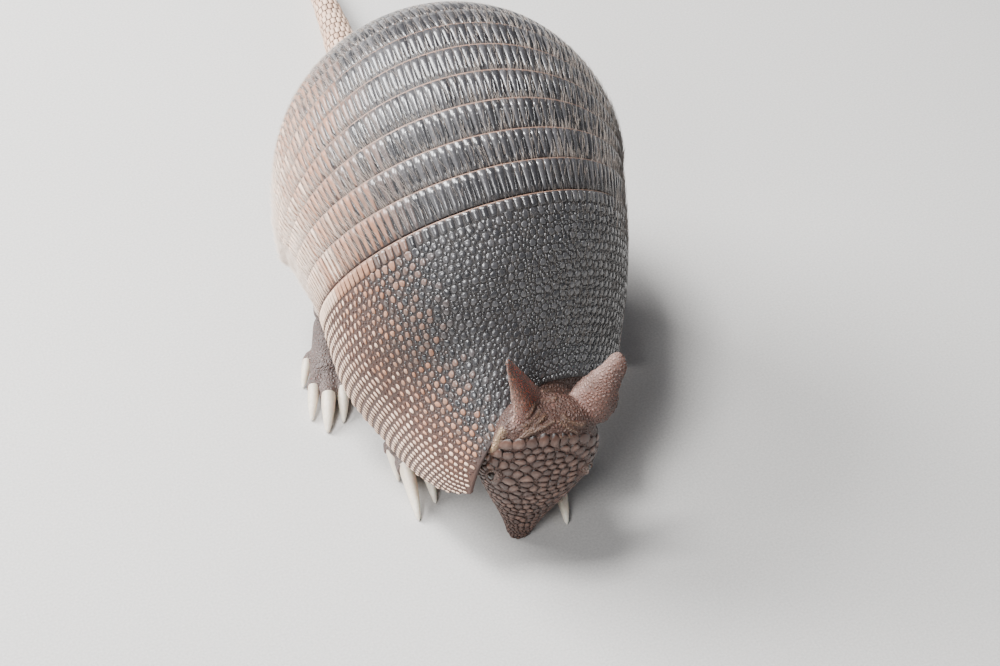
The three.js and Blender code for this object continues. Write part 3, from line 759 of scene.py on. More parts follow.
def modelWedge():
    # a long scute with a soft ridge, its walls drawn down round the edge
    clearSelection()
    bpy.ops.mesh.primitive_grid_add(x_subdivisions=2, y_subdivisions=4, size=1, location=(0, 0, 0.9))
    bpy.ops.object.transform_apply(location=True)
    bpy.ops.object.mode_set(mode="EDIT")
    bpy.ops.mesh.select_all(action="SELECT")
    bpy.ops.transform.resize(value=(0.9, 0.96, 1), center_override=(0, 0, 0.9))
    bpy.ops.mesh.region_to_loop()
    bpy.ops.mesh.extrude_edges_move(TRANSFORM_OT_translate={"value": (0, 0, -0.9)})
    bpy.ops.transform.resize(value=(1.11, 1.04, 1), center_override=(0, 0, 0))
    bpy.ops.object.mode_set(mode="OBJECT")
    wedge = bpy.context.object
    for vertex in wedge.data.vertices:
        if vertex.co.z > 0.5:
            vertex.co.z = 1.0 if abs(vertex.co.x) < 0.1 else 0.91
            if abs(vertex.co.y) > 0.4:
                vertex.co.z -= 0.12
    return wedge


def dropFloorFaces(obj):
    # the hidden underside is left open
    makeActive(obj)
    bpy.ops.object.mode_set(mode="EDIT")
    bpy.ops.mesh.select_all(action="DESELECT")
    bpy.ops.object.mode_set(mode="OBJECT")
    for polygon in obj.data.polygons:
        polygon.select = polygon.center.z < 0.01
    bpy.ops.object.mode_set(mode="EDIT")
    bpy.ops.mesh.delete(type="FACE")
    bpy.ops.object.mode_set(mode="OBJECT")
    return obj


class Crowd:
    # spots taken one by one, each only where the spots before it leave it room
    def __init__(self, cell):
        self.cell = cell
        self.taken = {}
        self.kept = []

    def near(self, point):
        i, j, k = (int(v // self.cell) for v in point)
        for a in (i - 1, i, i + 1):
            for b in (j - 1, j, j + 1):
                for c in (k - 1, k, k + 1):
                    yield from self.taken.get((a, b, c), ())

    def offer(self, point, radius, row):
        x, y, z = point
        for qx, qy, qz, other in self.near(point):
            room = radius + other
            if (x - qx) ** 2 + (y - qy) ** 2 + (z - qz) ** 2 < room * room:
                return
        key = tuple(int(v // self.cell) for v in point)
        self.taken.setdefault(key, []).append((x, y, z, radius))
        self.kept.append(row)


neighbours = 12  # that a scute's outline is worked out from


def cellReach(points, across, along, sizes, turns, chosen):
    # how far each chosen scute reaches in every direction before it meets its neighbours
    tree = kdtree.KDTree(len(points))
    for i, point in enumerate(points):
        tree.insert(Vector(point), i)
    tree.balance()
    near = np.array([[found[1] for found in tree.find_n(Vector(points[i]), neighbours + 1)][1:] for i in chosen])
    apart = points[near] - points[chosen][:, None]
    x = np.einsum("ijk,ik->ij", apart, across[chosen])
    y = np.einsum("ijk,ik->ij", apart, along[chosen])
    distance = np.maximum(np.hypot(x, y), 0.05)
    own = sizes[chosen][:, None]
    middle = (distance**2 + own**2 - sizes[near] ** 2) / (2 * distance)
    facing = np.cos(turns[None, None] - np.arctan2(y, x)[..., None])
    reach = np.where(facing > 0.08, np.maximum(middle, 0.1)[..., None] / np.maximum(facing, 0.08), 30)
    soft = (reach**-7).sum(axis=1) ** (-1 / 7)  # rounds the corners
    return np.minimum(soft * 1.04, own * 1.9)  # a scute with a lot of room doesn't fill it


def laidCells(surface, step, template, at, angle, sizes, chosen, gap, foot, height, slim=1.0):
    # scutes that fill the surface between their neighbours but for a gap
    places, faceSets = template
    points = surface(at, angle)
    along, across, _, alongRate, acrossRate = surfaceRates(surface, step, at, angle)
    turns = np.arctan2(places[:, 1], places[:, 0])
    reach = cellReach(points, across, along, sizes, turns, chosen)
    gap, height, slim = (np.broadcast_to(np.asarray(k, float), len(chosen))[:, None] for k in (gap, height, slim))
    reach = np.maximum(reach - gap, 0.12) * np.hypot(places[:, 0], places[:, 1]) * 2
    ats = at[chosen][:, None] + reach * np.sin(turns) / alongRate[chosen][:, None]
    angles = angle[chosen][:, None] + reach * np.cos(turns) * slim / acrossRate[chosen][:, None]
    laid = surface(ats, angles, foot + places[None, :, 2] * height)
    return laid.reshape(-1, 3), repeatFaces(faceSets, len(chosen), len(places)), ats, angles


def shellValues(flankAngles, tone, crown):
    # the marks a scute's material reads
    flank = flankShare(flankAngles)
    faded = np.clip(flank + (np.clip(tone, 0, 1) - 0.5) * 0.7 * np.sqrt(np.clip(flank * (1 - flank) * 4, 0, 1)), 0, 1)
    return {"flank": faded.ravel(), "tone": tone.ravel(), "crown": crown.ravel()}


def shellBake(ats, angles):
    # spots on the shell laid out flat
    return np.stack([0.5 + angles / 4.4, np.clip(ats, -0.02, 1.02) * 0.94 + 0.03], -1).reshape(-1, 2)


def laidOnShell(template, spots, footLift=None):
    # spots: at, angle, length and width in millimetres, front and rear width shares, rise of the foot, height, tone
    places, faceSets = template
    at, angle, length, width, front, rear, foot, height, tone = (np.asarray(s, float)[:, None] for s in spots)
    _, _, _, alongRate, acrossRate = surfaceRates(shellPoint, shellStep, at[:, 0], angle[:, 0])
    x, y, z = places[None, :, 0], places[None, :, 1], places[None, :, 2]
    taper = front + (rear - front) * (y + 0.5)
    ats = at + y * length / alongRate[:, None]
    angles = angle + x * width * taper / acrossRate[:, None]
    rise = foot + z * height
    if footLift:
        rise = rise + footLift(ats * shellLength)
    points = shellPoint(ats, angles, rise).reshape(-1, 3)
    whole = np.ones(ats.shape)
    return (points, repeatFaces(faceSets, len(at), len(places)),
            shellValues(angle * whole, tone * whole, z * whole), shellBake(ats, angles))


def joinParts(parts):
    # several sets of arrays as one
    points, faces, values, bake, shift = [], {}, {}, [], 0
    for p, faceSets, v, b in parts:
        points.append(p)
        bake.append(b)
        for f in faceSets:
            faces.setdefault(f.shape[1], []).append(f + shift)
        for key, value in v.items():
            values.setdefault(key, []).append(value)
        shift += len(p)
    return (np.vstack(points), [np.vstack(f) for f in faces.values()],
            {k: np.concatenate(v) for k, v in values.items()}, np.vstack(bake))


bandScutes = {
    "pitch": 3.8,
    "lowPitch": 3.0,
    "height": 0.55,
    "foot": -0.3,
    "gapFront": 0.5,
    "gapRear": 0.7,
    "crowd": 0.97,  # width of a scute as a share of its pitch
    "flankGap": 0.17,  # how much of the pitch stays bare on the flanks
    # front width, rear width and height share, share of the band's length and shift, of main and between scutes
    "main": (0.36, 0.95, 1, 1, 0),
    "between": (0.60, 0.06, 0.6, 0.82, -0.09),
}


def bandSpots(i):
    # broad-backed scutes with narrow ones between their front ends
    start, end = bandStart(i) + bandScutes["gapFront"], bandStart(i + 1) - bandScutes["gapRear"]
    middle = (start + end) / 2 / shellLength
    share = (end - start) / shellLength
    rows = []
    for kind in ("main", "between"):
        front, rear, height, length, shift = bandScutes[kind]
        angles, pitch = rowPlaces(middle, bandScutes, 0.0 if kind == "main" else 0.5)
        whole = np.ones(len(angles))
        _, _, _, alongRate, _ = surfaceRates(shellPoint, shellStep, middle * whole, angles)
        tone = luck.uniform(0, 1, len(angles)) ** 0.8
        # the scutes between are darkened as painted shade in the gaps
        if kind == "between":
            tone = tone * 0.15 - 0.3
        width = pitch * bandScutes["crowd"] * (1 - bandScutes["flankGap"] * flankShare(angles))
        rows.append([(middle + shift * share) * whole, angles, share * alongRate * length, width, front * whole,
                     rear * whole, bandScutes["foot"] * whole, bandScutes["height"] * height * whole, tone])
    return [np.concatenate(column) for column in zip(*rows)]


def makeBandScutes(wedge):
    for i in range(shell["bands"]):
        lift = lambda along, band=i: bandLiftAt(along, band) - plates["sink"]
        obj = meshFromArrays(f"bandScutes{i + 1}", *laidOnShell(wedge, bandSpots(i), lift))
        finishPiece(obj, scuteSurface)


shieldScutes = {
    "pitch": 4.3,
    "lowPitch": 3.5,  # across the flanks near the lower edge
    "row": 4.2,
    "size": 0.36,  # radius of a main scute as a share of the pitch
    "flankSmaller": 0.05,
    "slim": 0.4,  # how much narrower the scutes get on the flanks
    "loose": 0.3,  # how far the scutes of the back lie off their rows
    "radius": 80,  # of the back, to turn millimetres across it into an angle
    "edgeGap": 0.8,
    "edgeRoom": 1.6,  # between the first scutes and the shield's border
    "height": 0.8,
    "foot": -0.6,
    "gap": (0.1, 0.42),  # on the back and on the flanks
    "grain": (0.62, 0.98),
    "grains": 26000,
    "edgeRow": 5.5,  # length of the scutes along the rear edge
    "edgeShape": (0.7, 0.94),  # their front and rear widths as shares of the pitch
}


def shieldRows(border, far):
    # rows of scutes evenly spaced over the surface from one border of a shield towards the other
    shares = np.radians(np.linspace(-1, 1, 181))
    ats = np.linspace(border, far, 90)[None] / shellLength
    lines = shellPoint(ats, shares[:, None] * shellValue(ats, "reach"))
    runs = np.linalg.norm(np.diff(lines, axis=1), axis=-1).cumsum(axis=1)
    runs = np.hstack([np.zeros((len(runs), 1)), runs])
    row, index = shieldScutes["edgeGap"] + shieldScutes["edgeRoom"], 0
    while row < runs.max() - shieldScutes["edgeGap"] - 1:
        inside = row < runs[:, -1] - shieldScutes["edgeGap"] - 1.2
        at = np.array([np.interp(row, run, ats[0]) for run in runs])
        yield at, shares * shellValue(at, "reach"), inside, 0.5 * (index % 2)
        row += shieldScutes["row"]
        index += 1


def rowSpots(at, angle, inside, shift):
    # places of the scutes of one row, closer together low on the flanks
    size, run = countAlong(shellPoint(at, angle), angle, shieldScutes)
    steps = np.arange(0.55 + shift, run[-1] / 2 - 0.25)
    places = np.sort(np.concatenate([steps, run[-1] - steps]))
    kept = np.interp(places, run, inside) > 0.99
    return tuple(np.interp(places[kept], run, k) for k in (at, angle, size))


def shieldSpots(start, border, far):
    # rows of main scutes, then smaller ones in the room between them, which end low on the flanks
    crowd = Crowd(shieldScutes["pitch"])
    for line in shieldRows(border, far):
        ats, angles, pitch = rowSpots(*line)
        loose = shieldScutes["loose"] * (1 - lowShare(angles))
        ats = ats + luck.normal(0, 1, len(ats)) * loose / shellLength
        angles = angles + luck.normal(0, 1, len(ats)) * loose / shieldScutes["radius"]
        share = shieldScutes["size"] - shieldScutes["flankSmaller"] * flankShare(angles)
        for a, b, size, point in zip(ats, angles, pitch * share, shellPoint(ats, angles)):
            crowd.offer(point, size * 0.9, (a, b, size * luck.uniform(0.93, 1.08)))
    mains = len(crowd.kept)
    ends = sorted((border, far))
    ats = luck.uniform(ends[0] + 1, ends[1] - 1, shieldScutes["grains"]) / shellLength
    angles = luck.uniform(-1, 1, len(ats)) * np.radians(shellValue(ats, "reach"))
    edge = np.linalg.norm(shellPoint(ats, angles) - shellPoint(start / shellLength, angles), axis=-1)
    room = 1 - lowShare(angles, luck.normal(0, 6, len(ats)))
    sizes = luck.uniform(*shieldScutes["grain"], len(ats))
    wanted = (room > luck.uniform(0.2, 0.8, len(ats))) & (edge > shieldScutes["edgeRoom"])
    for a, b, size, point in zip(ats[wanted], angles[wanted], sizes[wanted], shellPoint(ats, angles)[wanted]):
        crowd.offer(point, size * 0.86, (a, b, size))
    return np.array(crowd.kept).T, mains


def makeShieldScutes(name, start, end, edgeRear, dome, granule, wedge):
    last = end - shieldScutes["edgeGap"] - (shieldScutes["edgeRow"] if edgeRear else 0)
    (at, angle, sizes), mains = shieldSpots(start, last if edgeRear else start, start if edgeRear else last)
    parts = []
    for template, chosen, lowness in ((dome, np.arange(mains), 1.0), (granule, np.arange(mains, len(at)), 0.85)):
        side = flankShare(angle[chosen])
        gap = shieldScutes["gap"][0] + (shieldScutes["gap"][1] - shieldScutes["gap"][0]) * side
        tone = luck.uniform(0, 1, len(chosen))
        if lowness < 1:
            # the granules are darkened on the flanks as painted shade between the main scutes
            tone = tone * 0.6 * (1 - side) - 0.45 * smoothStep(0, 0.5, side)  # the grains stay dark on the flanks
        height = shieldScutes["height"] * lowness * (0.94 + 0.12 * tone)
        slim = 1 - shieldScutes["slim"] * side
        points, faceSets, ats, angles = laidCells(shellPoint, shellStep, template, at, angle, sizes, chosen, gap,
                                                  shieldScutes["foot"], height, slim)
        whole = np.ones(ats.shape)
        values = shellValues(angle[chosen][:, None] * whole, tone[:, None] * whole,
                             template[0][None, :, 2] * whole)
        parts.append((points, faceSets, values, shellBake(ats, angles)))
    if edgeRear:  # a row of longer scutes ends the shield
        rowFirst, rowLast = last + 0.3, end - shieldScutes["edgeGap"]
        middle = (rowFirst + rowLast) / 2 / shellLength
        angles, pitch = rowPlaces(middle, bandScutes)
        whole = np.ones(len(angles))
        front, rear = shieldScutes["edgeShape"]
        _, _, _, alongRate, _ = surfaceRates(shellPoint, shellStep, middle * whole, angles)
        parts.append(laidOnShell(wedge, (
            middle * whole, angles, (rowLast - rowFirst) / shellLength * alongRate, pitch, front * whole, rear * whole,
            shieldScutes["foot"] * whole, shieldScutes["height"] * whole, luck.uniform(0, 1, len(angles)))))
    obj = meshFromArrays(name, *joinParts(parts))
    print(name, mains, len(at), "scutes,", len(obj.data.polygons), "faces")
    finishPiece(obj, scuteSurface)


head = {
    "nape": (-5.6, -73.8, 82),
    "noseLine": (-4.9, 7.2, -72),
    "faceTurn": -8,
    "stations": [  # from the nape, half width, crown, jaw, widest level
        (-4, 12, -8, -22, -14), (-2, 16.5, -4.5, -24, -13), (2, 20, -0.8, -27, -11), (12, 25, 0.5, -33, -11),
        (24, 27.3, 1, -37, -13), (35, 26, 0.7, -35, -13), (45, 22, -0.8, -31, -13), (55, 17.2, -2.8, -27, -13),
        (65, 12.2, -4.6, -23.5, -13), (75, 7.8, -6.2, -19.3, -12.5), (85, 4.5, -8.2, -16.5, -12.5),
    ],
    "shield": [(2, 52), (10, 60), (22, 57), (34, 41), (46, 42), (58, 42), (68, 28), (72.5, 12)],
    "shieldDroop": 6,
    "eyeRadius": 4.2,
    "eyeAt": 29.5,
    "eyeAngle": 53,
    "eyeDepth": 2.8,
}
headStep = 0.05  # millimetres along the head, for its slopes
headStations = stationRows(("at", "halfWidth", "crown", "jaw", "widest"), head["stations"])
shieldStations = stationRows(("at", "reach"), head["shield"])


def headAxes():
    nose = unit(np.array(head["noseLine"], float))
    turn = math.radians(head["faceTurn"])
    face = np.array([math.sin(turn), -math.cos(turn), 0])
    face = unit(face - nose * face.dot(nose))
    return np.cross(face, nose), face, nose


headLeft, headFace, headNose = headAxes()


def headPoint(at, angle, rise=0.0):
    at, angle, rise = np.broadcast_arrays(*(np.asarray(x, float) for x in (at, angle, rise)))
    crown, jaw, widest = (smoothBetween(headStations, at, k) for k in ("crown", "jaw", "widest"))
    across = (smoothBetween(headStations, at, "halfWidth") + rise) * np.sin(angle)
    fall = np.cos(angle)
    height = widest + np.where(fall > 0, (crown + rise - widest) * fall, (widest - jaw + rise) * fall)
    return (np.array(head["nape"]) + headLeft * across[..., None] + headFace * height[..., None]
            + headNose * at[..., None])


ears = {
    "thickness": 1.5,
    "hindShare": 0.75,
    "outerSpare": 0.4,  # for the depth that the skin is drawn in, outside and in the ear's hollow
    "innerSpare": 1.1,
    "left": {
        "base": (10.1, -62.4, 80.8), "axis": (0.59, 0.07, 0.8), "facing": (0.74, 0.5, -0.45), "sign": 1,
        "length": 33.8, "stations": [(0, 9.9, 103), (0.15, 10.9, 93), (0.3, 11, 82), (0.48, 10.1, 68),
                                     (0.66, 9.1, 53), (0.84, 8.3, 49), (0.95, 6.9, 43), (1, 5.7, 27)],
        # the pale strip is a painted highlight, the dark strip painted shade
        "pale": (0.82, 3.4), "dark": (0.1, 4.5),  # place across the ear and width of the pale and dark strips
    },
    "right": {
        "base": (-0.6, -57.1, 80), "axis": (-0.49, 0.01, 0.87), "facing": (-0.83, 0.45, -0.32), "sign": -1,
        "length": 42, "stations": [(0, 16.2, 94), (0.15, 15.5, 90), (0.3, 13.8, 84), (0.48, 11.5, 69),
                                   (0.66, 8.9, 62), (0.84, 6.4, 56), (0.95, 4.8, 44), (1, 4, 24)],
        "pale": (0.0, 5.0), "dark": (0.46, 4.5),
    },
}


def earPoint(side, at, sweep, depth):
    # sweep runs from 0 at the front rim to 1 at the hind rim, depth from 0 outside to 1 inside
    ear = ears[side]
    stations = stationRows(("at", "radius", "curl"), ear["stations"])
    along = unit(np.array(ear["axis"], float))
    opening = np.array(ear["facing"], float)
    opening = unit(opening - along * opening.dot(along))
    across = np.cross(along, opening) * ear["sign"]
    radius = smoothBetween(stations, at, "radius")
    curl = np.radians(smoothBetween(stations, at, "curl"))
    angle = -curl + (1 + ears["hindShare"]) * curl * sweep
    thin = radius - depth * (ears["thickness"] + ears["innerSpare"]) + ears["outerSpare"]
    return (np.array(ear["base"], float) + along * (at * ear["length"])[..., None]
            + opening * (radius - thin * np.cos(angle))[..., None] + across * (thin * np.sin(angle))[..., None])


def makeEar(side):
    def place(u, v):
        # u goes round the ear's thickness, over the outside and back through the hollow
        outward = u <= 0.5
        sweep = np.where(outward, 2 * u, 2 - 2 * u)
        return earPoint(side, v, np.clip(sweep, 0, 1), np.where(outward, 0.0, 1.0))

    return gridSheet(f"earForm_{side}", 60, 40, place, closed=True)[0]


forePaw = {
    "level": 21,
    "leg": [((0, -20, 74), 17, 21), ((2, -12, 56), 15, 18), ((3, -6, 38), 11.5, 13), ((1, -2, 22), 9.5, 9.5),
            ((0, 3, 12), 10.5, 8), ((0, 8, 8.5), 10, 6.5)],
    "toes": [  # start, knuckle, tip of the claw, half width of the toe and of the claw
        ((-8, 4, 8), (-10, 10, 6.5), (-11, 20, 0.6), 4, 2.6), ((-4, 7, 8.5), (-5, 14, 8.5), (-6, 31, 0.7), 4.8, 3.6),
        ((3.5, 7, 8.5), (4.2, 16, 9), (4, 40, 0.9), 5.4, 4.3), ((7, -5, 8), (8, 1, 7), (7.5, 14, 0.6), 4.4, 3.2),
    ],
}
hindPaw = {
    "level": 24,
    "leg": [((-8, -8, 82), 18, 30), ((-6, -4, 64), 17, 25), ((-2, -6, 44), 13, 17), ((-1, -14, 27), 9.5, 10.5),
            ((0, -15, 13), 9, 9)],
    "sole": [((0, -23, 7.5), 6.5, 6.5), ((0, -15, 8.5), 9, 8.8), ((0, 2, 8), 9.5, 8.2), ((0, 22, 6.8), 10.5, 6.6)],
    "toes": [
        ((-8, 10, 6), (-10, 18, 5.5), (-11, 29, 0.6), 4, 3), ((-5, 18, 6.5), (-7, 29, 6.4), (-7.4, 44, 0.8), 4.8, 3.7),
        ((0, 20, 6.5), (0, 34, 6.8), (0, 51, 0.9), 5.2, 4.4), ((5, 18, 6.5), (7.2, 28, 6.3), (7.8, 43, 0.8), 4.7, 3.6),
        ((8, 3, 6), (11, 9, 5.5), (12.5, 21, 0.6), 4, 3),
    ],
}
stances = {  # paw, side, place, turn outward, shift of the leg's top
    "fore_left": (forePaw, 1, (15, -17, 0), -8, (20, 10, 0)),
    "fore_right": (forePaw, -1, (-42, 6, 0), 6, (-5, 8, 0)),
    "hind_left": (hindPaw, 1, (62, 86, 0), 14, (-4, 10, 0)),
    "hind_right": (hindPaw, -1, (-56, 81, 0), 19, (4, 10, 0)),
}


def pawPlace(stance, point):
    _, side, place, turn, _ = stance
    swing = math.radians(turn)
    x = point[0] * math.cos(swing) + point[1] * math.sin(swing)
    y = point[1] * math.cos(swing) - point[0] * math.sin(swing)
    return np.array([place[0] + side * x, place[1] - y, point[2]], float)


def tubePoints(centres, sizes, u, v, rounding=0.0):
    # a smooth tube through centres with half width and half height at each, its ends drawn in by rounding
    curve = SmoothCurve(centres)
    spots = lengthsAlong(np.array(centres))
    spots /= spots[-1]
    along = curve.way(v)
    side = unit(np.array([1.0, 0, 0]) - along * along[..., :1])
    up = np.cross(along, side)
    a, b = (np.interp(v, spots, np.array(sizes)[:, k]) for k in (0, 1))
    if rounding:
        pull = np.sqrt(np.clip(1 - np.clip((np.abs(v - 0.5) * 2 - (1 - rounding)) / rounding, 0, 1) ** 2, 0.02, 1))
        a, b = a * pull, b * pull
    turn = 2 * np.pi * u
    return curve.place(v) + side * (a * np.cos(turn))[..., None] + up * (b * np.sin(turn))[..., None]


def tubeForm(name, centres, sizes, around=28, along=24, rounding=0.0):
    return gridSheet(name, around, along, lambda u, v: tubePoints(centres, sizes, u, v, rounding), closed=True)[0]


def limbForms(name, stance):
    paw, _, _, _, shift = stance
    top = paw["leg"][0][0][2]
    centres = []
    for point, _, _ in paw["leg"]:
        share = max(0, (point[2] - paw["level"]) / (top - paw["level"]))
        centres.append(pawPlace(stance, point) + np.array(shift, float) * share)
    forms = [tubeForm(f"{name}Leg", centres, [(a, b) for _, a, b in paw["leg"]], 36, 40, 0.12)]
    if "sole" in paw:
        sole = [pawPlace(stance, p) for p, _, _ in paw["sole"]]
        forms.append(tubeForm(f"{name}Sole", sole, [(a, b) for _, a, b in paw["sole"]], 30, 24, 0.3))
    for i, (start, knuckle, _, size, _) in enumerate(paw["toes"]):
        toe = [pawPlace(stance, start), pawPlace(stance, knuckle)]
        toe.append(toe[1] + (toe[1] - toe[0]) * 0.12)
        forms.append(tubeForm(f"{name}Toe{i}", toe, [(size, size), (size * 0.9, size * 0.9), (size * 0.7, size * 0.7)],
                              20, 14, 0.25))
    return forms


claws = {
    "rooted": 0.16,  # share of the claw's length that lies in the toe
    "hook": 0.12,
    "shares": (0, 0.4, 0.75, 1),
    "widths": (1, 0.9, 0.6, 0.22),
    "narrow": 0.82,  # half width as a share of half height
}


def makeClaws():
    for name, stance in stances.items():
        paw = stance[0]
        for i, (_, knuckle, tip, _, nail) in enumerate(paw["toes"]):
            root, end = pawPlace(stance, knuckle), pawPlace(stance, tip)
            start = root - (end - root) * claws["rooted"]
            hook = claws["hook"] * np.linalg.norm(end - root)
            shares = np.array(claws["shares"])
            centres = start + (end - start) * shares[:, None]
            centres[:, 2] += hook * 4 * shares * (1 - shares) * 0.6
            sizes = [(width * nail * claws["narrow"], width * nail) for width in claws["widths"]]
            obj, u, v = gridSheet(f"claw_{name}_{i + 1}", 18, 20, lambda u, v: tubePoints(centres, sizes, u, v, 0.06))
            obj.data.uv_layers[0].name = "lengthwise"
            writeValue(obj.data, "reach", v)
            closeEnds(1e-6)
            bpy.ops.object.shade_smooth_by_angle(angle=math.radians(50))
            writePlaces(obj, readPlaces(obj))
            finishPiece(obj, clawSurface, [f"claw_{name}_{i + 1}"])


tail = {
    "points": [(13.6, 139, 88), (13.8, 148, 72), (14, 159, 54.5), (14.5, 174, 38), (15.4, 195, 24.5), (17, 222, 16.2),
               (19.8, 255, 12.4), (24, 298, 9.5), (29, 348, 6.9), (32.5, 396, 4.6), (33.5, 438, 2.8), (32, 468, 1.5)],
    "radii": [(0, 20), (0.08, 21), (0.17, 19.6), (0.27, 16.8), (0.37, 14), (0.5, 11), (0.63, 8.2), (0.76, 5.8),
              (0.88, 3.8), (1, 1.6)],
    "rings": 16,
    "ringEnd": 0.72,  # share of the tail's length behind which there are no rings
    "ringStep": 0.06,
    "scute": 3.4,
    "ringRow": 5.2,  # length of a row of scutes within a ring
    "ringScute": (0.9, 0.88, 0.7),  # length and width as shares of the room it has, and height
    "tipScute": (0.95, 0.9, 0.45),
    "foot": -0.35,
    "flank": (0.84, 0.14),  # how pale the scutes are, and how much more some of them
    "tipScutes": (3.2, 2.4),  # behind the rings, and where the tail is thinnest
    "thinnest": 3,
    "tipEnd": 0.985,
}
tailStations = stationRows(("at", "radius"), tail["radii"])
tailCurve = SmoothCurve(tail["points"])


def tailPoint(at, turn, rise=0.0):
    at, turn, rise = np.broadcast_arrays(*(np.asarray(x, float) for x in (at, turn, rise)))
    along = tailCurve.way(at)
    side = unit(np.array([1.0, 0, 0]) - along * along[..., :1])
    up = np.cross(along, side)
    ring = at / tail["ringEnd"] * tail["rings"]
    saw = np.where(at < tail["ringEnd"], ring % 1.0, 0)
    radius = smoothBetween(tailStations, at, "radius") * (1 - tail["ringStep"] * (1 - saw)) + rise
    return tailCurve.place(at) + side * (radius * np.cos(turn))[..., None] + up * (radius * np.sin(turn))[..., None]


def makeTailForm():
    return gridSheet("tailForm", 40, 300, lambda u, v: tailPoint(v, 2 * np.pi * u), closed=True)[0]


def makeTailScutes(wedge):
    spots = []
    longShare, wideShare, height = tail["ringScute"]
    for ring in range(tail["rings"]):
        start, end = (k * tail["ringEnd"] / tail["rings"] for k in (ring, ring + 1))
        radius = float(smoothBetween(tailStations, (start + end) / 2, "radius"))
        length = (end - start) * tailCurve.length
        rows = max(2, round(length / tail["ringRow"]))
        for row in range(rows):
            at = start + (end - start) * (row + 0.5) / rows
            count = max(8, round(2 * math.pi * radius / tail["scute"]))
            turns = (np.arange(count) + 0.5 * (row % 2)) * 2 * math.pi / count
            for turn in turns:
                spots.append((at, turn, length / rows * longShare, 2 * math.pi / count * wideShare, height))
    longShare, wideShare, height = tail["tipScute"]
    at = tail["ringEnd"] + 0.006
    row = 0
    while at < tail["tipEnd"]:
        radius = float(smoothBetween(tailStations, at, "radius"))
        size = tail["tipScutes"][0 if radius > tail["thinnest"] else 1]
        count = max(6, round(2 * math.pi * radius / size))
        for turn in (np.arange(count) + 0.5 * (row % 2)) * 2 * math.pi / count:
            spots.append((at, turn, size * longShare, 2 * math.pi / count * wideShare, height))
        at += size / tailCurve.length
        row += 1
    spots = np.array(spots)
    places, faceSets = wedge
    x, y, z = (places[None, :, k] for k in range(3))
    at = spots[:, 0:1] + y * spots[:, 2:3] / tailCurve.length
    turn = spots[:, 1:2] + x * spots[:, 3:4]
    rise = tail["foot"] + z * spots[:, 4:5]
    points = tailPoint(np.clip(at, 0, 1), turn, rise)
    tone = np.broadcast_to(luck.uniform(0, 1, (len(spots), 1)), at.shape)
    palest, varied = tail["flank"]
    values = {"flank": palest + varied * tone.ravel(), "tone": tone.ravel(),
              "crown": np.broadcast_to(z, at.shape).ravel()}
    bake = np.stack([turn / (2 * np.pi) * 0.9 + 0.04, at * 0.96 + 0.02], -1).reshape(-1, 2)
    points = points.reshape(-1, 3)
    points[:, 2] = np.maximum(points[:, 2], 0)
    obj = meshFromArrays("tailScutes", points, repeatFaces(faceSets, len(spots), len(places)), values, bake)
    finishPiece(obj, scuteSurface)


skin = {
    "voxel": 0.9,
    "smoothing": 6,
    "coatDepth": 0.4,
    "earDepth": 0.55,
    "pawLevel": 26,  # below it the legs keep their fine faces
    "trianglesBeforeFolds": 148000,
    "foldPlaces": [(-14, -67, 82), (-4, -70, 82), (6, -69, 82), (0, -56, 88), (-26, -63, 76)],
    "foldReach": 9.5,  # the skin is divided this near the folds and the lids
    "lidReach": 6.6,
    "insideShell": 1.2,  # how far the trunk lies under the shell's inner side
    "trunk": (0.095, 0.968),  # from and to along the shell
    "neckEnds": (0.05, 0.105),
    "neckTurn": -20,
    "neck": [((-5, -66, 69), 14, 10, 14), ((-3, -58, 66), 21, 14, 18), ((0, -50, 62), 25, 20, 21)],
}
lids = {
    "thickness": 0.6,
    "slit": (3.3, 1.65),
    "turn": 18,
    "rims": ((0.3, 1.35, 0.3), (0.22, 2.5, 0.35)),  # height, place in slit widths and width of each rim
    "opening": 1.6,  # how far the skin goes down beside the eyeball in the slit
    "reach": (5.9, 4.3),
}
folds = {
    "centre": (-8, -64, 80),
    "span": 36,  # no fold reaches further from the centre
    "furrow": 0.35,  # depth as a share of the ridge's height
    "furrowAt": 2.2,  # in half widths from the ridge
    "ridges": [  # points, height, half width, paleness
        ([(-20.7, -67.1, 77.7), (-16.1, -70.4, 79.1), (-10.9, -72.3, 79.6), (-6.6, -73.1, 79.6), (-2.5, -73.2, 79.5),
          (2.8, -73, 78.2), (8.5, -71.9, 76.4)], 1, 0.75, 0.22),
        ([(-19.2, -67.8, 79.2), (-14.5, -69.3, 82.2), (-9, -69.1, 83.8), (-4.7, -68.7, 85), (-1.7, -68, 85.3)],
         1, 0.8, 0.22),
        ([(-1.7, -68, 85.3), (0.9, -69.8, 83.7), (4, -71.8, 80.9), (7.4, -72.1, 77.6)], 0.69, 0.8, 0.22),
        ([(-17.5, -67.3, 82.1), (-14.1, -68.3, 83.5), (-9.2, -67.1, 85.6), (-5.3, -64.2, 87)], 0.92, 0.8, 0.22),
        ([(-17.6, -65.8, 83.6), (-14.4, -66.6, 85), (-10.4, -65.4, 86.7), (-6.4, -61.1, 87.4)], 0.8, 0.8, 0.22),
        ([(-14.9, -64.1, 86.4), (-11.7, -62.6, 88.2), (-8.8, -59.7, 90)], 0.69, 0.8, 0.22),
        ([(1.6, -65.3, 86.4), (2.4, -68.3, 84.8), (5.6, -70, 82.4), (9.4, -70.1, 80.6), (13.2, -69.7, 80.8)],
         1, 0.9, 0.22),
        ([(-5.1, -56.5, 88.1), (-1.4, -57.7, 87.4), (3.1, -57, 87.1)], 0.92, 1.0, 0.22),
        ([(-3.1, -52.6, 88), (2.3, -49.2, 84), (6.7, -47.7, 82.6)], 0.8, 1.1, 0.22),
        ([(-23.1, -62.2, 82.3), (-25.4, -62.6, 77.3), (-27.6, -63.1, 72.3), (-30.5, -62.8, 68)], 1.2, 1.7, 0.95),
    ],
}


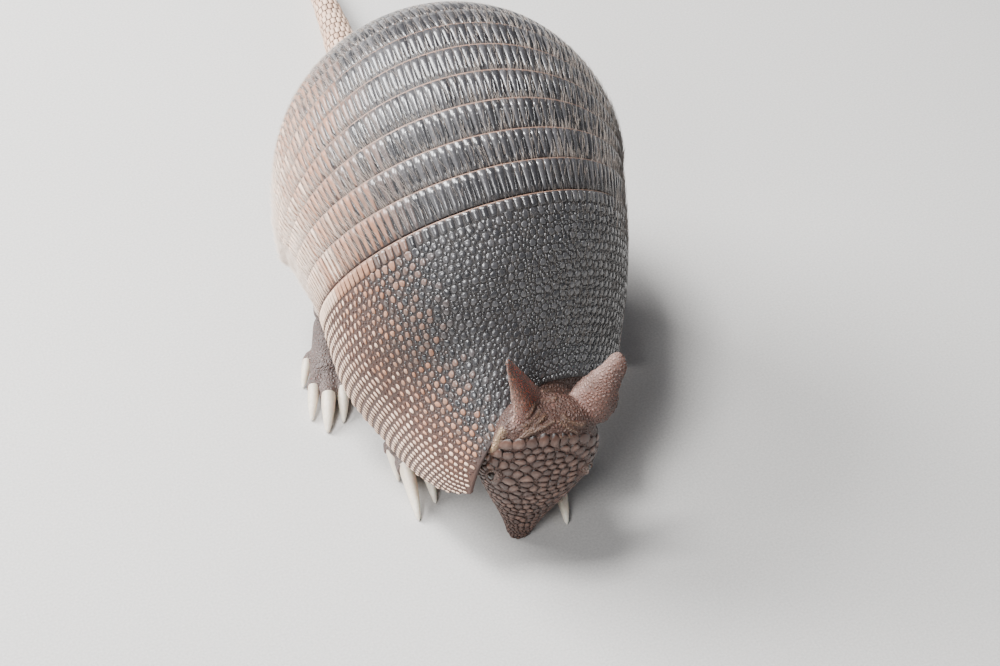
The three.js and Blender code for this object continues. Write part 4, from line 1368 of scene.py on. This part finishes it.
def underShell(at, angle, depth):
    return shellPoint(at, angle, -(shell["thickness"] + depth), withBelly=True)


def neckForm():
    # ovals behind the head, then rings under the shell
    turn = math.radians(skin["neckTurn"])
    side = np.array([math.cos(turn), -math.sin(turn), 0])

    def place(u, v):
        angle = -np.pi / 2 + 2 * np.pi * u
        rings = []
        for centre, half, high, low in skin["neck"]:
            height = np.where(np.cos(angle) > 0, high, low) * np.cos(angle)
            rings.append(np.array(centre, float) + side * (half * np.sin(angle))[:, None]
                         + np.array([0, 0, 1.0]) * height[:, None])
        rings += [underShell(at, angle, skin["insideShell"]) for at in skin["neckEnds"]]
        rings = np.array(rings)
        spot = v * (len(rings) - 1)
        i = np.clip(spot.astype(int), 0, len(rings) - 2)
        t = (spot - i)[:, None]
        column = np.arange(len(u))
        return rings[i, column] * (1 - t) + rings[i + 1, column] * t

    return gridSheet("neckForm", 60, 24, place, closed=True)[0]


def trunkForm():
    start, end = skin["trunk"]

    def place(u, v):
        return underShell(start + (end - start) * v, -np.pi / 2 + 2 * np.pi * u, skin["insideShell"])

    return gridSheet("trunkForm", 90, 70, place, closed=True)[0]


def distanceToLine(points, line):
    # how far points lie from a smooth line, and their share along it
    curve = SmoothCurve(line, 10)
    apart = np.linalg.norm(points[:, None] - curve.points[None], axis=-1)
    best = apart.argmin(axis=1)
    return apart[np.arange(len(points)), best], curve.share[best]


def divideNear(obj, centres, reach, cuts):
    # finer faces within reach of some places
    places = readPlaces(obj)
    close = np.zeros(len(places), bool)
    for centre in centres:
        close |= np.linalg.norm(places - np.array(centre, float), axis=1) < reach
    makeActive(obj)
    bpy.ops.object.mode_set(mode="EDIT")
    bpy.ops.mesh.select_mode(type="VERT")
    bpy.ops.mesh.select_all(action="DESELECT")
    bpy.ops.object.mode_set(mode="OBJECT")
    obj.data.vertices.foreach_set("select", close)
    bpy.ops.object.mode_set(mode="EDIT")
    bpy.ops.mesh.subdivide(number_cuts=cuts)
    bpy.ops.mesh.select_all(action="DESELECT")
    bpy.ops.object.mode_set(mode="OBJECT")


def foldSkin(obj):
    # each fold is a ridge with a furrow beside it
    places = readPlaces(obj)
    normals = readVectors(obj, "normal")
    near = np.nonzero(np.linalg.norm(places - np.array(folds["centre"]), axis=1) < folds["span"])[0]
    ridge = np.zeros(len(places))
    for line, height, width, paleness in folds["ridges"]:
        distance, share = distanceToLine(places[near], line)
        fade = smoothStep(0, 0.12, share) * smoothStep(1, 0.88, share)
        crest = np.exp(-((distance / width) ** 2)) * fade
        hollow = np.exp(-(((distance - folds["furrowAt"] * width) / width) ** 2)) * fade
        places[near] += normals[near] * (height * crest - folds["furrow"] * height * hollow)[:, None]
        ridge[near] = np.maximum(ridge[near], crest * paleness)
    writePlaces(obj, places)
    writeValue(obj.data, "fold", ridge)


def shapeLids(obj):
    # the skin is drawn over the eyeball but for a narrow slit
    places = readPlaces(obj)
    lid = np.zeros(len(places))
    for sign in (-1, 1):
        centre = eyeCentre(sign)
        out = unit(headPoint(head["eyeAt"], sign * math.radians(head["eyeAngle"]), 4.0) - centre)
        slit = unit(headNose - out * headNose.dot(out))
        across = np.cross(out, slit)
        turn = math.radians(lids["turn"]) * sign
        slit, across = (slit * math.cos(turn) + across * math.sin(turn),
                        across * math.cos(turn) - slit * math.sin(turn))
        local = places - centre
        height = local @ out
        a, b = local @ slit, local @ across
        distance = np.hypot(a, b)
        radius = head["eyeRadius"] + lids["thickness"]
        dome = np.sqrt(np.maximum(radius**2 - distance**2, 0))
        inSlit = np.hypot(a / lids["slit"][0], b / lids["slit"][1])
        rim = sum(rise * np.exp(-(((inSlit - middle) / width) ** 2)) for rise, middle, width in lids["rims"])
        target = np.where(inSlit < 1.0, head["eyeRadius"] - lids["opening"], dome + rim)
        weight = smoothStep(*lids["reach"], distance) * (height > 0)
        places += out * ((target - height) * weight)[:, None]
        lid = np.maximum(lid, np.exp(-(((inSlit - 1.5) / 0.6) ** 2)) * weight)
    writePlaces(obj, places)
    writeValue(obj.data, "lid", lid)


def makeSkin():
    groups = {"trunk": [trunkForm()], "neck": [neckForm()], "tail": [makeTailForm()]}
    nape, nose = headStations[0]["at"], headStations[-1]["at"]
    groups["head"] = [gridSheet("headForm", 80, 90, lambda u, v: headPoint(nape + (nose - nape) * v, 2 * np.pi * u),
                                closed=True)[0]]
    for side in ("left", "right"):
        groups[f"ear{side}"] = [makeEar(side)]
    for name, stance in stances.items():
        groups[f"limb{name}"] = limbForms(name, stance)
    labels = np.concatenate([[label] * sum(len(f.data.vertices) for f in forms) for label, forms in groups.items()])
    everything = [form for forms in groups.values() for form in forms]
    spots = np.vstack([readVectors(form) for form in everything])
    nearest = kdtree.KDTree(len(spots))
    for i, spot in enumerate(spots):
        nearest.insert(Vector(spot), i)
    nearest.balance()
    makeActive(everything[0])
    for form in everything:
        form.select_set(True)
    bpy.ops.object.join()
    obj = bpy.context.object
    obj.name = "skin"
    applyModifier(obj, "REMESH", mode="VOXEL", voxel_size=skin["voxel"] * mm)
    applyModifier(obj, "SMOOTH", factor=0.5, iterations=skin["smoothing"])
    found = np.array([labels[nearest.find(Vector(p))[1]] for p in readVectors(obj)])
    isEar = np.char.startswith(found, "ear")
    isLimb = np.char.startswith(found, "limb")
    places = readPlaces(obj)
    depth = np.where(isEar, skin["earDepth"], skin["coatDepth"])
    writePlaces(obj, places - readVectors(obj, "normal") * depth[:, None])
    writeValue(obj.data, "ear", isEar)
    writeValue(obj.data, "limb", isLimb | (found == "tail"))
    coarse = obj.vertex_groups.new(name="coarse")
    fine = isEar | (found == "head") | (isLimb & (places[:, 2] < skin["pawLevel"]))
    coarse.add([int(i) for i in np.nonzero(~fine)[0]], 1.0, "REPLACE")
    triangles = len(obj.data.polygons) * 2
    if triangles > skin["trianglesBeforeFolds"]:
        applyModifier(obj, "DECIMATE", ratio=skin["trianglesBeforeFolds"] / triangles, vertex_group="coarse",
                      vertex_group_factor=4.0)
    divideNear(obj, skin["foldPlaces"], skin["foldReach"], 1)
    divideNear(obj, [eyeCentre(-1), eyeCentre(1)], skin["lidReach"], 2)
    foldSkin(obj)
    shapeLids(obj)
    shadeEars(obj)
    mesh = obj.data
    print("skin", len(mesh.polygons), "faces,", sum(len(p.vertices) - 2 for p in mesh.polygons), "triangles")
    makeActive(obj)
    bpy.ops.object.shade_smooth()
    replaced = ["trunk", "neck", "head", "ear_left", "ear_right", "tail_root", "tail_middle", "tail_rear", "tail_tip"]
    replaced += [f"{part}_{name}" for part in ("leg", "foot") for name in stances]
    finishPiece(obj, skinSurface, replaced)


def shadeEars(obj):
    # a pale strip of painted highlight and a dark strip of painted shade run up each ear
    places = readPlaces(obj)
    steps = np.linspace(0, 1, 40)
    for key in ("pale", "dark"):
        value = np.zeros(len(places))
        for side in ("left", "right"):
            across, width = ears[side][key]
            line = earPoint(side, steps, 0 * steps + across, 0 * steps)
            apart = np.linalg.norm(places[:, None] - line[None], axis=-1).min(axis=1)
            value = np.maximum(value, np.exp(-((apart / width) ** 2)))
        writeValue(obj.data, key, value)


def makeEyes():
    for side, sign in (("left", 1), ("right", -1)):
        centre = eyeCentre(sign)
        clearSelection()
        bpy.ops.mesh.primitive_uv_sphere_add(segments=40, ring_count=24, radius=head["eyeRadius"] * mm,
                                             location=tuple((centre + rowOffset) * mm))
        eye = bpy.context.object
        eye.name = f"eyeball_{side}"
        bpy.ops.object.transform_apply(location=True)
        bpy.ops.object.shade_smooth()
        finishPiece(eye, eyeSurface, [f"eye_{side}"])


headScales = {
    "pitches": [(2, 4.6), (30, 4.3), (50, 3.8), (66, 3.0), (80, 2.2)],  # from the nape to the nose
    "cheekPitch": 0.68,  # share of the crown's pitch on the cheeks
    "crownRows": (4.9, 72.5),  # first and last row from the nape
    "cheekRows": (6.0, 82),
    "rowStep": 0.86,  # distance of rows as a share of the pitch
    "droopEnd": 22,  # the rows curve less and less up to here
    "eyeRoom": 5.6,
    "gap": 0.26,  # round a scale of the next size, and in proportion round others
    "gapSize": 2.3,
    "foot": -0.9,
    "height": 1.25,
    "cheekHeight": 1.0,
    "reach": 118,
    "loose": 0.34,
}


def eyeCentre(sign):
    return headPoint(head["eyeAt"], sign * math.radians(head["eyeAngle"]), -head["eyeDepth"])


def headScaleSpots():
    # scales over the head shield first, then smaller ones down the cheeks
    crowd = Crowd(5.0)
    pitchAt, pitches = zip(*headScales["pitches"])
    eyes = [eyeCentre(-1), eyeCentre(1)]
    counts = []
    for onShield in (True, False):
        share = 1.0 if onShield else headScales["cheekPitch"]
        at, last = headScales["crownRows" if onShield else "cheekRows"]
        row = 0
        while at < last:
            pitch = float(np.interp(at, pitchAt, pitches)) * share
            reach = math.radians(float(smoothBetween(shieldStations, min(at, headScales["crownRows"][1]), "reach")))
            ends = (-reach, reach) if onShield else tuple(k * math.radians(headScales["reach"]) for k in (-1, 1))
            angles = np.linspace(*ends, 121)
            run = lengthsAlong(headPoint(at, angles))
            count = max(1, round(run[-1] / pitch))
            spots = (np.arange(count) + 0.5 + (0.25 if row % 2 else -0.25)) / count
            angles = np.interp(spots * run[-1], run, angles)
            droop = head["shieldDroop"] * max(0, 1 - at / headScales["droopEnd"])
            ats = at + droop * (angles / reach).clip(-1.3, 1.3) ** 2 + luck.normal(0, headScales["loose"], count)
            angles = angles + luck.normal(0, headScales["loose"], count) / 24
            for a, b, point in zip(ats, angles, headPoint(ats, angles)):
                outside = abs(b) > reach * 1.04 or a > 73
                if onShield == outside or min(np.linalg.norm(point - eye) for eye in eyes) < headScales["eyeRoom"]:
                    continue
                crowd.offer(point, pitch / 2 * 0.82, (a, b, pitch / 2 * luck.uniform(0.9, 1.1)))
            at += pitch * headScales["rowStep"]
            row += 1
        counts.append(len(crowd.kept))
    return np.array(crowd.kept).T, counts


def makeHeadScales():
    template = readTemplate(modelDome(10, 0.84))
    (at, angle, sizes), (onShield, everyScale) = headScaleSpots()
    for name, chosen, height, replaced in (
            ("headScales", np.arange(onShield), headScales["height"], ["head_shield"]),
            ("cheekScales", np.arange(onShield, everyScale), headScales["cheekHeight"], [])):
        tone = luck.uniform(0, 1, len(chosen))
        points, faceSets, ats, angles = laidCells(headPoint, headStep, template, at, angle, sizes, chosen,
                                                  headScales["gap"] * sizes[chosen] / headScales["gapSize"],
                                                  headScales["foot"], height + 0.1 * tone)
        points[:, 2] = np.maximum(points[:, 2], 0)
        whole = np.ones(ats.shape)
        values = {"tone": (tone[:, None] * whole).ravel(), "crown": (template[0][None, :, 2] * whole).ravel()}
        bake = np.stack([0.5 + angles / 4.8, ats / 90 + 0.05], -1).reshape(-1, 2)
        obj = meshFromArrays(name, points, faceSets, values, bake)
        finishPiece(obj, headScaleSurface, replaced)


hair = {
    "width": 0.12,
    "lift": 0.18,
    "coats": [  # name, count, length, from and to along the shell, reach shares, lift share, least paleness
        ("backHair", 5200, (3.5, 7), (0.28, 0.985), (-0.42, 0.62), 0.8, 0.5),
        ("flankHairRight", 7500, (4.5, 9), (0.26, 0.985), (-1, -0.36), 1.0, 0.6),
        # the left flank's hairs are kept dim as painted shade
        ("flankHairLeft", 5000, (5, 10), (0.2, 0.985), (0.55, 1), 1.0, 0.3),
        ("shoulderHair", 2400, (3, 5.5), (0.04, 0.28), (-0.25, 0.85), 0.6, 0.1),
        ("marginHair", 4000, (7, 13), (0.28, 0.985), (-1, -0.87), 1.1, 0.9),
        ("edgeHair", 3500, (6, 12), (0.2, 0.985), (0.82, 1), 1.1, 0.9),
    ],
    "blur": 0.08,
    "spread": 0.14,
    "seamShare": 0.4,  # share of the hairs that grow near the bands' rear edges
    "seamGap": 0.4,
    "seamReach": 1.6,
}
belly = {"count": 9000, "length": (9, 20), "ends": (0.06, 0.93), "halfAngle": 1.45, "depth": 1.9, "lift": (0.15, 0.5)}


def modelStrand():
    # a thin three-sided cone with two joints, standing on its root
    clearSelection()
    bpy.ops.mesh.primitive_cylinder_add(vertices=3, radius=0.5, depth=0.4, end_fill_type="NOTHING",
                                        location=(0, 0, 0.2))
    bpy.ops.object.transform_apply(location=True)
    strand = bpy.context.object
    bpy.ops.object.mode_set(mode="EDIT")
    bpy.ops.mesh.select_all(action="DESELECT")
    bpy.ops.object.mode_set(mode="OBJECT")
    for vertex in strand.data.vertices:
        vertex.select = vertex.co.z > 0.3
    bpy.ops.object.mode_set(mode="EDIT")
    bpy.ops.mesh.select_mode(type="VERT")
    bpy.ops.mesh.extrude_edges_move(TRANSFORM_OT_translate={"value": (0, 0, 0.35)})
    bpy.ops.transform.resize(value=(0.7, 0.7, 1))
    bpy.ops.mesh.edge_face_add()
    bpy.ops.mesh.poke(offset=0.25)
    bpy.ops.object.mode_set(mode="OBJECT")
    return strand


def growHair(name, template, roots, along, across, out, length, lift, bend, bakeSpots, paleness):
    places, faceSets = template
    x, y, z = (places[None, :, k, None] for k in range(3))
    t = z / places[:, 2].max()
    length, lift, bend = (np.asarray(a, float)[:, None, None] for a in (length, lift, bend))
    # each strand rises a little, then lies down towards its tip
    line = (roots[:, None] + along[:, None] * length * t * np.sqrt(np.clip(1 - lift**2, 0, 1))
            + out[:, None] * length * (lift * t * 1.3 - lift * 0.75 * t * t) + across[:, None] * bend * t * t)
    wide = across[:, None] * x * hair["width"] + out[:, None] * y * hair["width"]
    points = (line + wide).reshape(-1, 3)
    shape = (len(roots), len(places))
    tone = np.broadcast_to(luck.uniform(0, 1, (len(roots), 1)), shape).ravel()
    values = {"reach": np.broadcast_to(t[..., 0], shape).ravel(), "tone": tone,
              "pale": np.broadcast_to(paleness[:, None], shape).ravel()}
    patch = np.stack([places[:, 0], t[0, :, 0] - 0.5], -1) * 0.003
    bake = (bakeSpots[:, None] + patch[None]).reshape(-1, 2)
    points[:, 2] = np.maximum(points[:, 2], 0.02)
    obj = meshFromArrays(name, points, repeatFaces(faceSets, len(roots), len(places)), values, bake)
    print(name, len(roots), "hairs,", sum(len(p.vertices) - 2 for p in obj.data.polygons), "triangles")
    finishPiece(obj, hairSurface)


def coatSpots(count, ends, shares):
    # places over part of the shell, gathered towards the rear edges of the bands
    at = luck.uniform(*ends, count)
    along = at * shellLength
    inBands = (along > bandStart(0)) & (along < bandStart(shell["bands"]))
    seam = (np.ceil((along - bandStart(0)) / shell["pitch"])) * shell["pitch"] + bandStart(0)
    pulled = seam - np.abs(luck.normal(0, hair["seamReach"], count)) - hair["seamGap"]
    drawn = inBands & (luck.uniform(0, 1, count) < hair["seamShare"])
    at = np.where(drawn, pulled, along) / shellLength
    share = luck.uniform(*shares, count)
    share = np.where(np.abs(share) > 0.9, share, share + luck.normal(0, hair["blur"], count))
    return at, np.clip(share, -1, 1) * np.radians(shellValue(at, "reach"))


def shellHair(name, strand, count, length, ends, shares, liftShare, leastPale):
    at, angle = coatSpots(count, ends, shares)
    along, across, out, _, _ = surfaceRates(shellPoint, shellStep, at, angle)
    roots = shellPoint(at, angle, -0.1)
    turn = luck.normal(0, hair["spread"], count) + 0.3 * np.sin(angle)
    way = unit(along * np.cos(turn)[:, None] + across * np.sin(turn)[:, None])
    lift = luck.uniform(0.3, 1.5, count) * hair["lift"] * liftShare
    growHair(name, strand, roots, way, np.cross(out, way), out, luck.uniform(*length, count), lift,
             luck.normal(0, 0.6, count), shellBake(at, angle), np.maximum(leastPale, flankShare(angle)))


def bellyHair(strand):
    # long pale hairs of the underside and the upper legs
    count = belly["count"]
    at = luck.uniform(*belly["ends"], count)
    angle = np.pi + luck.uniform(-1, 1, count) * belly["halfAngle"]
    surface = lambda at, angle: underShell(at, angle, belly["depth"])
    along, across, out, _, _ = surfaceRates(surface, shellStep, at, angle)
    way = unit(along + across * luck.normal(0, 0.3, count)[:, None])
    length = luck.uniform(*belly["length"], count)
    lift = luck.uniform(*belly["lift"], count)
    bake = np.stack([0.5 + angle / (4 * np.pi), at * 0.94 + 0.03], -1)
    growHair("bellyHair", strand, surface(at, angle), way, np.cross(out, way), out, length, lift,
             luck.normal(0, 2, count), bake, np.ones(count))


plateSurface = plateMaterial()
scuteSurface = scuteMaterial()
skinSurface = skinMaterial()
clawSurface = clawMaterial()
eyeSurface = eyeMaterial()
hairSurface = hairMaterial()
headScaleSurface = headScaleMaterial()

placeCamera()
makeStudio()
print("studio ready")

cut = shell["bandCut"] / 2
flat = lambda along: 0 * along
makePlate("shoulderPlate", 0, shell["shoulder"] - cut, plates["shieldRows"], flat, "shoulder_shield")
for band in range(shell["bands"]):
    makePlate(f"bandPlate{band + 1}", bandStart(band) + cut, bandStart(band + 1) - cut, plates["bandRows"],
              lambda along, i=band: bandLiftAt(along, i), f"band_{band + 1}")
makePlate("rumpPlate", bandStart(shell["bands"]) + cut, shellLength, plates["shieldRows"], flat, "rump_shield")
print("plates done")

domeShape, granuleShape, wedgeShape = (readTemplate(k) for k in (modelDome(9, 0.76), modelGranule(), modelWedge()))
makeBandScutes(wedgeShape)
makeShieldScutes("shoulderScutes", 0, shell["shoulder"], True, domeShape, granuleShape, wedgeShape)
makeShieldScutes("rumpScutes", bandStart(shell["bands"]), shellLength, False, domeShape, granuleShape, wedgeShape)
makeTailScutes(wedgeShape)
makeHeadScales()
print("scutes done")

makeSkin()
makeClaws()
makeEyes()
strandShape = readTemplate(modelStrand())
for coat in hair["coats"]:
    shellHair(coat[0], strandShape, *coat[1:])
bellyHair(strandShape)
print("skin, claws, eyes and hair done")
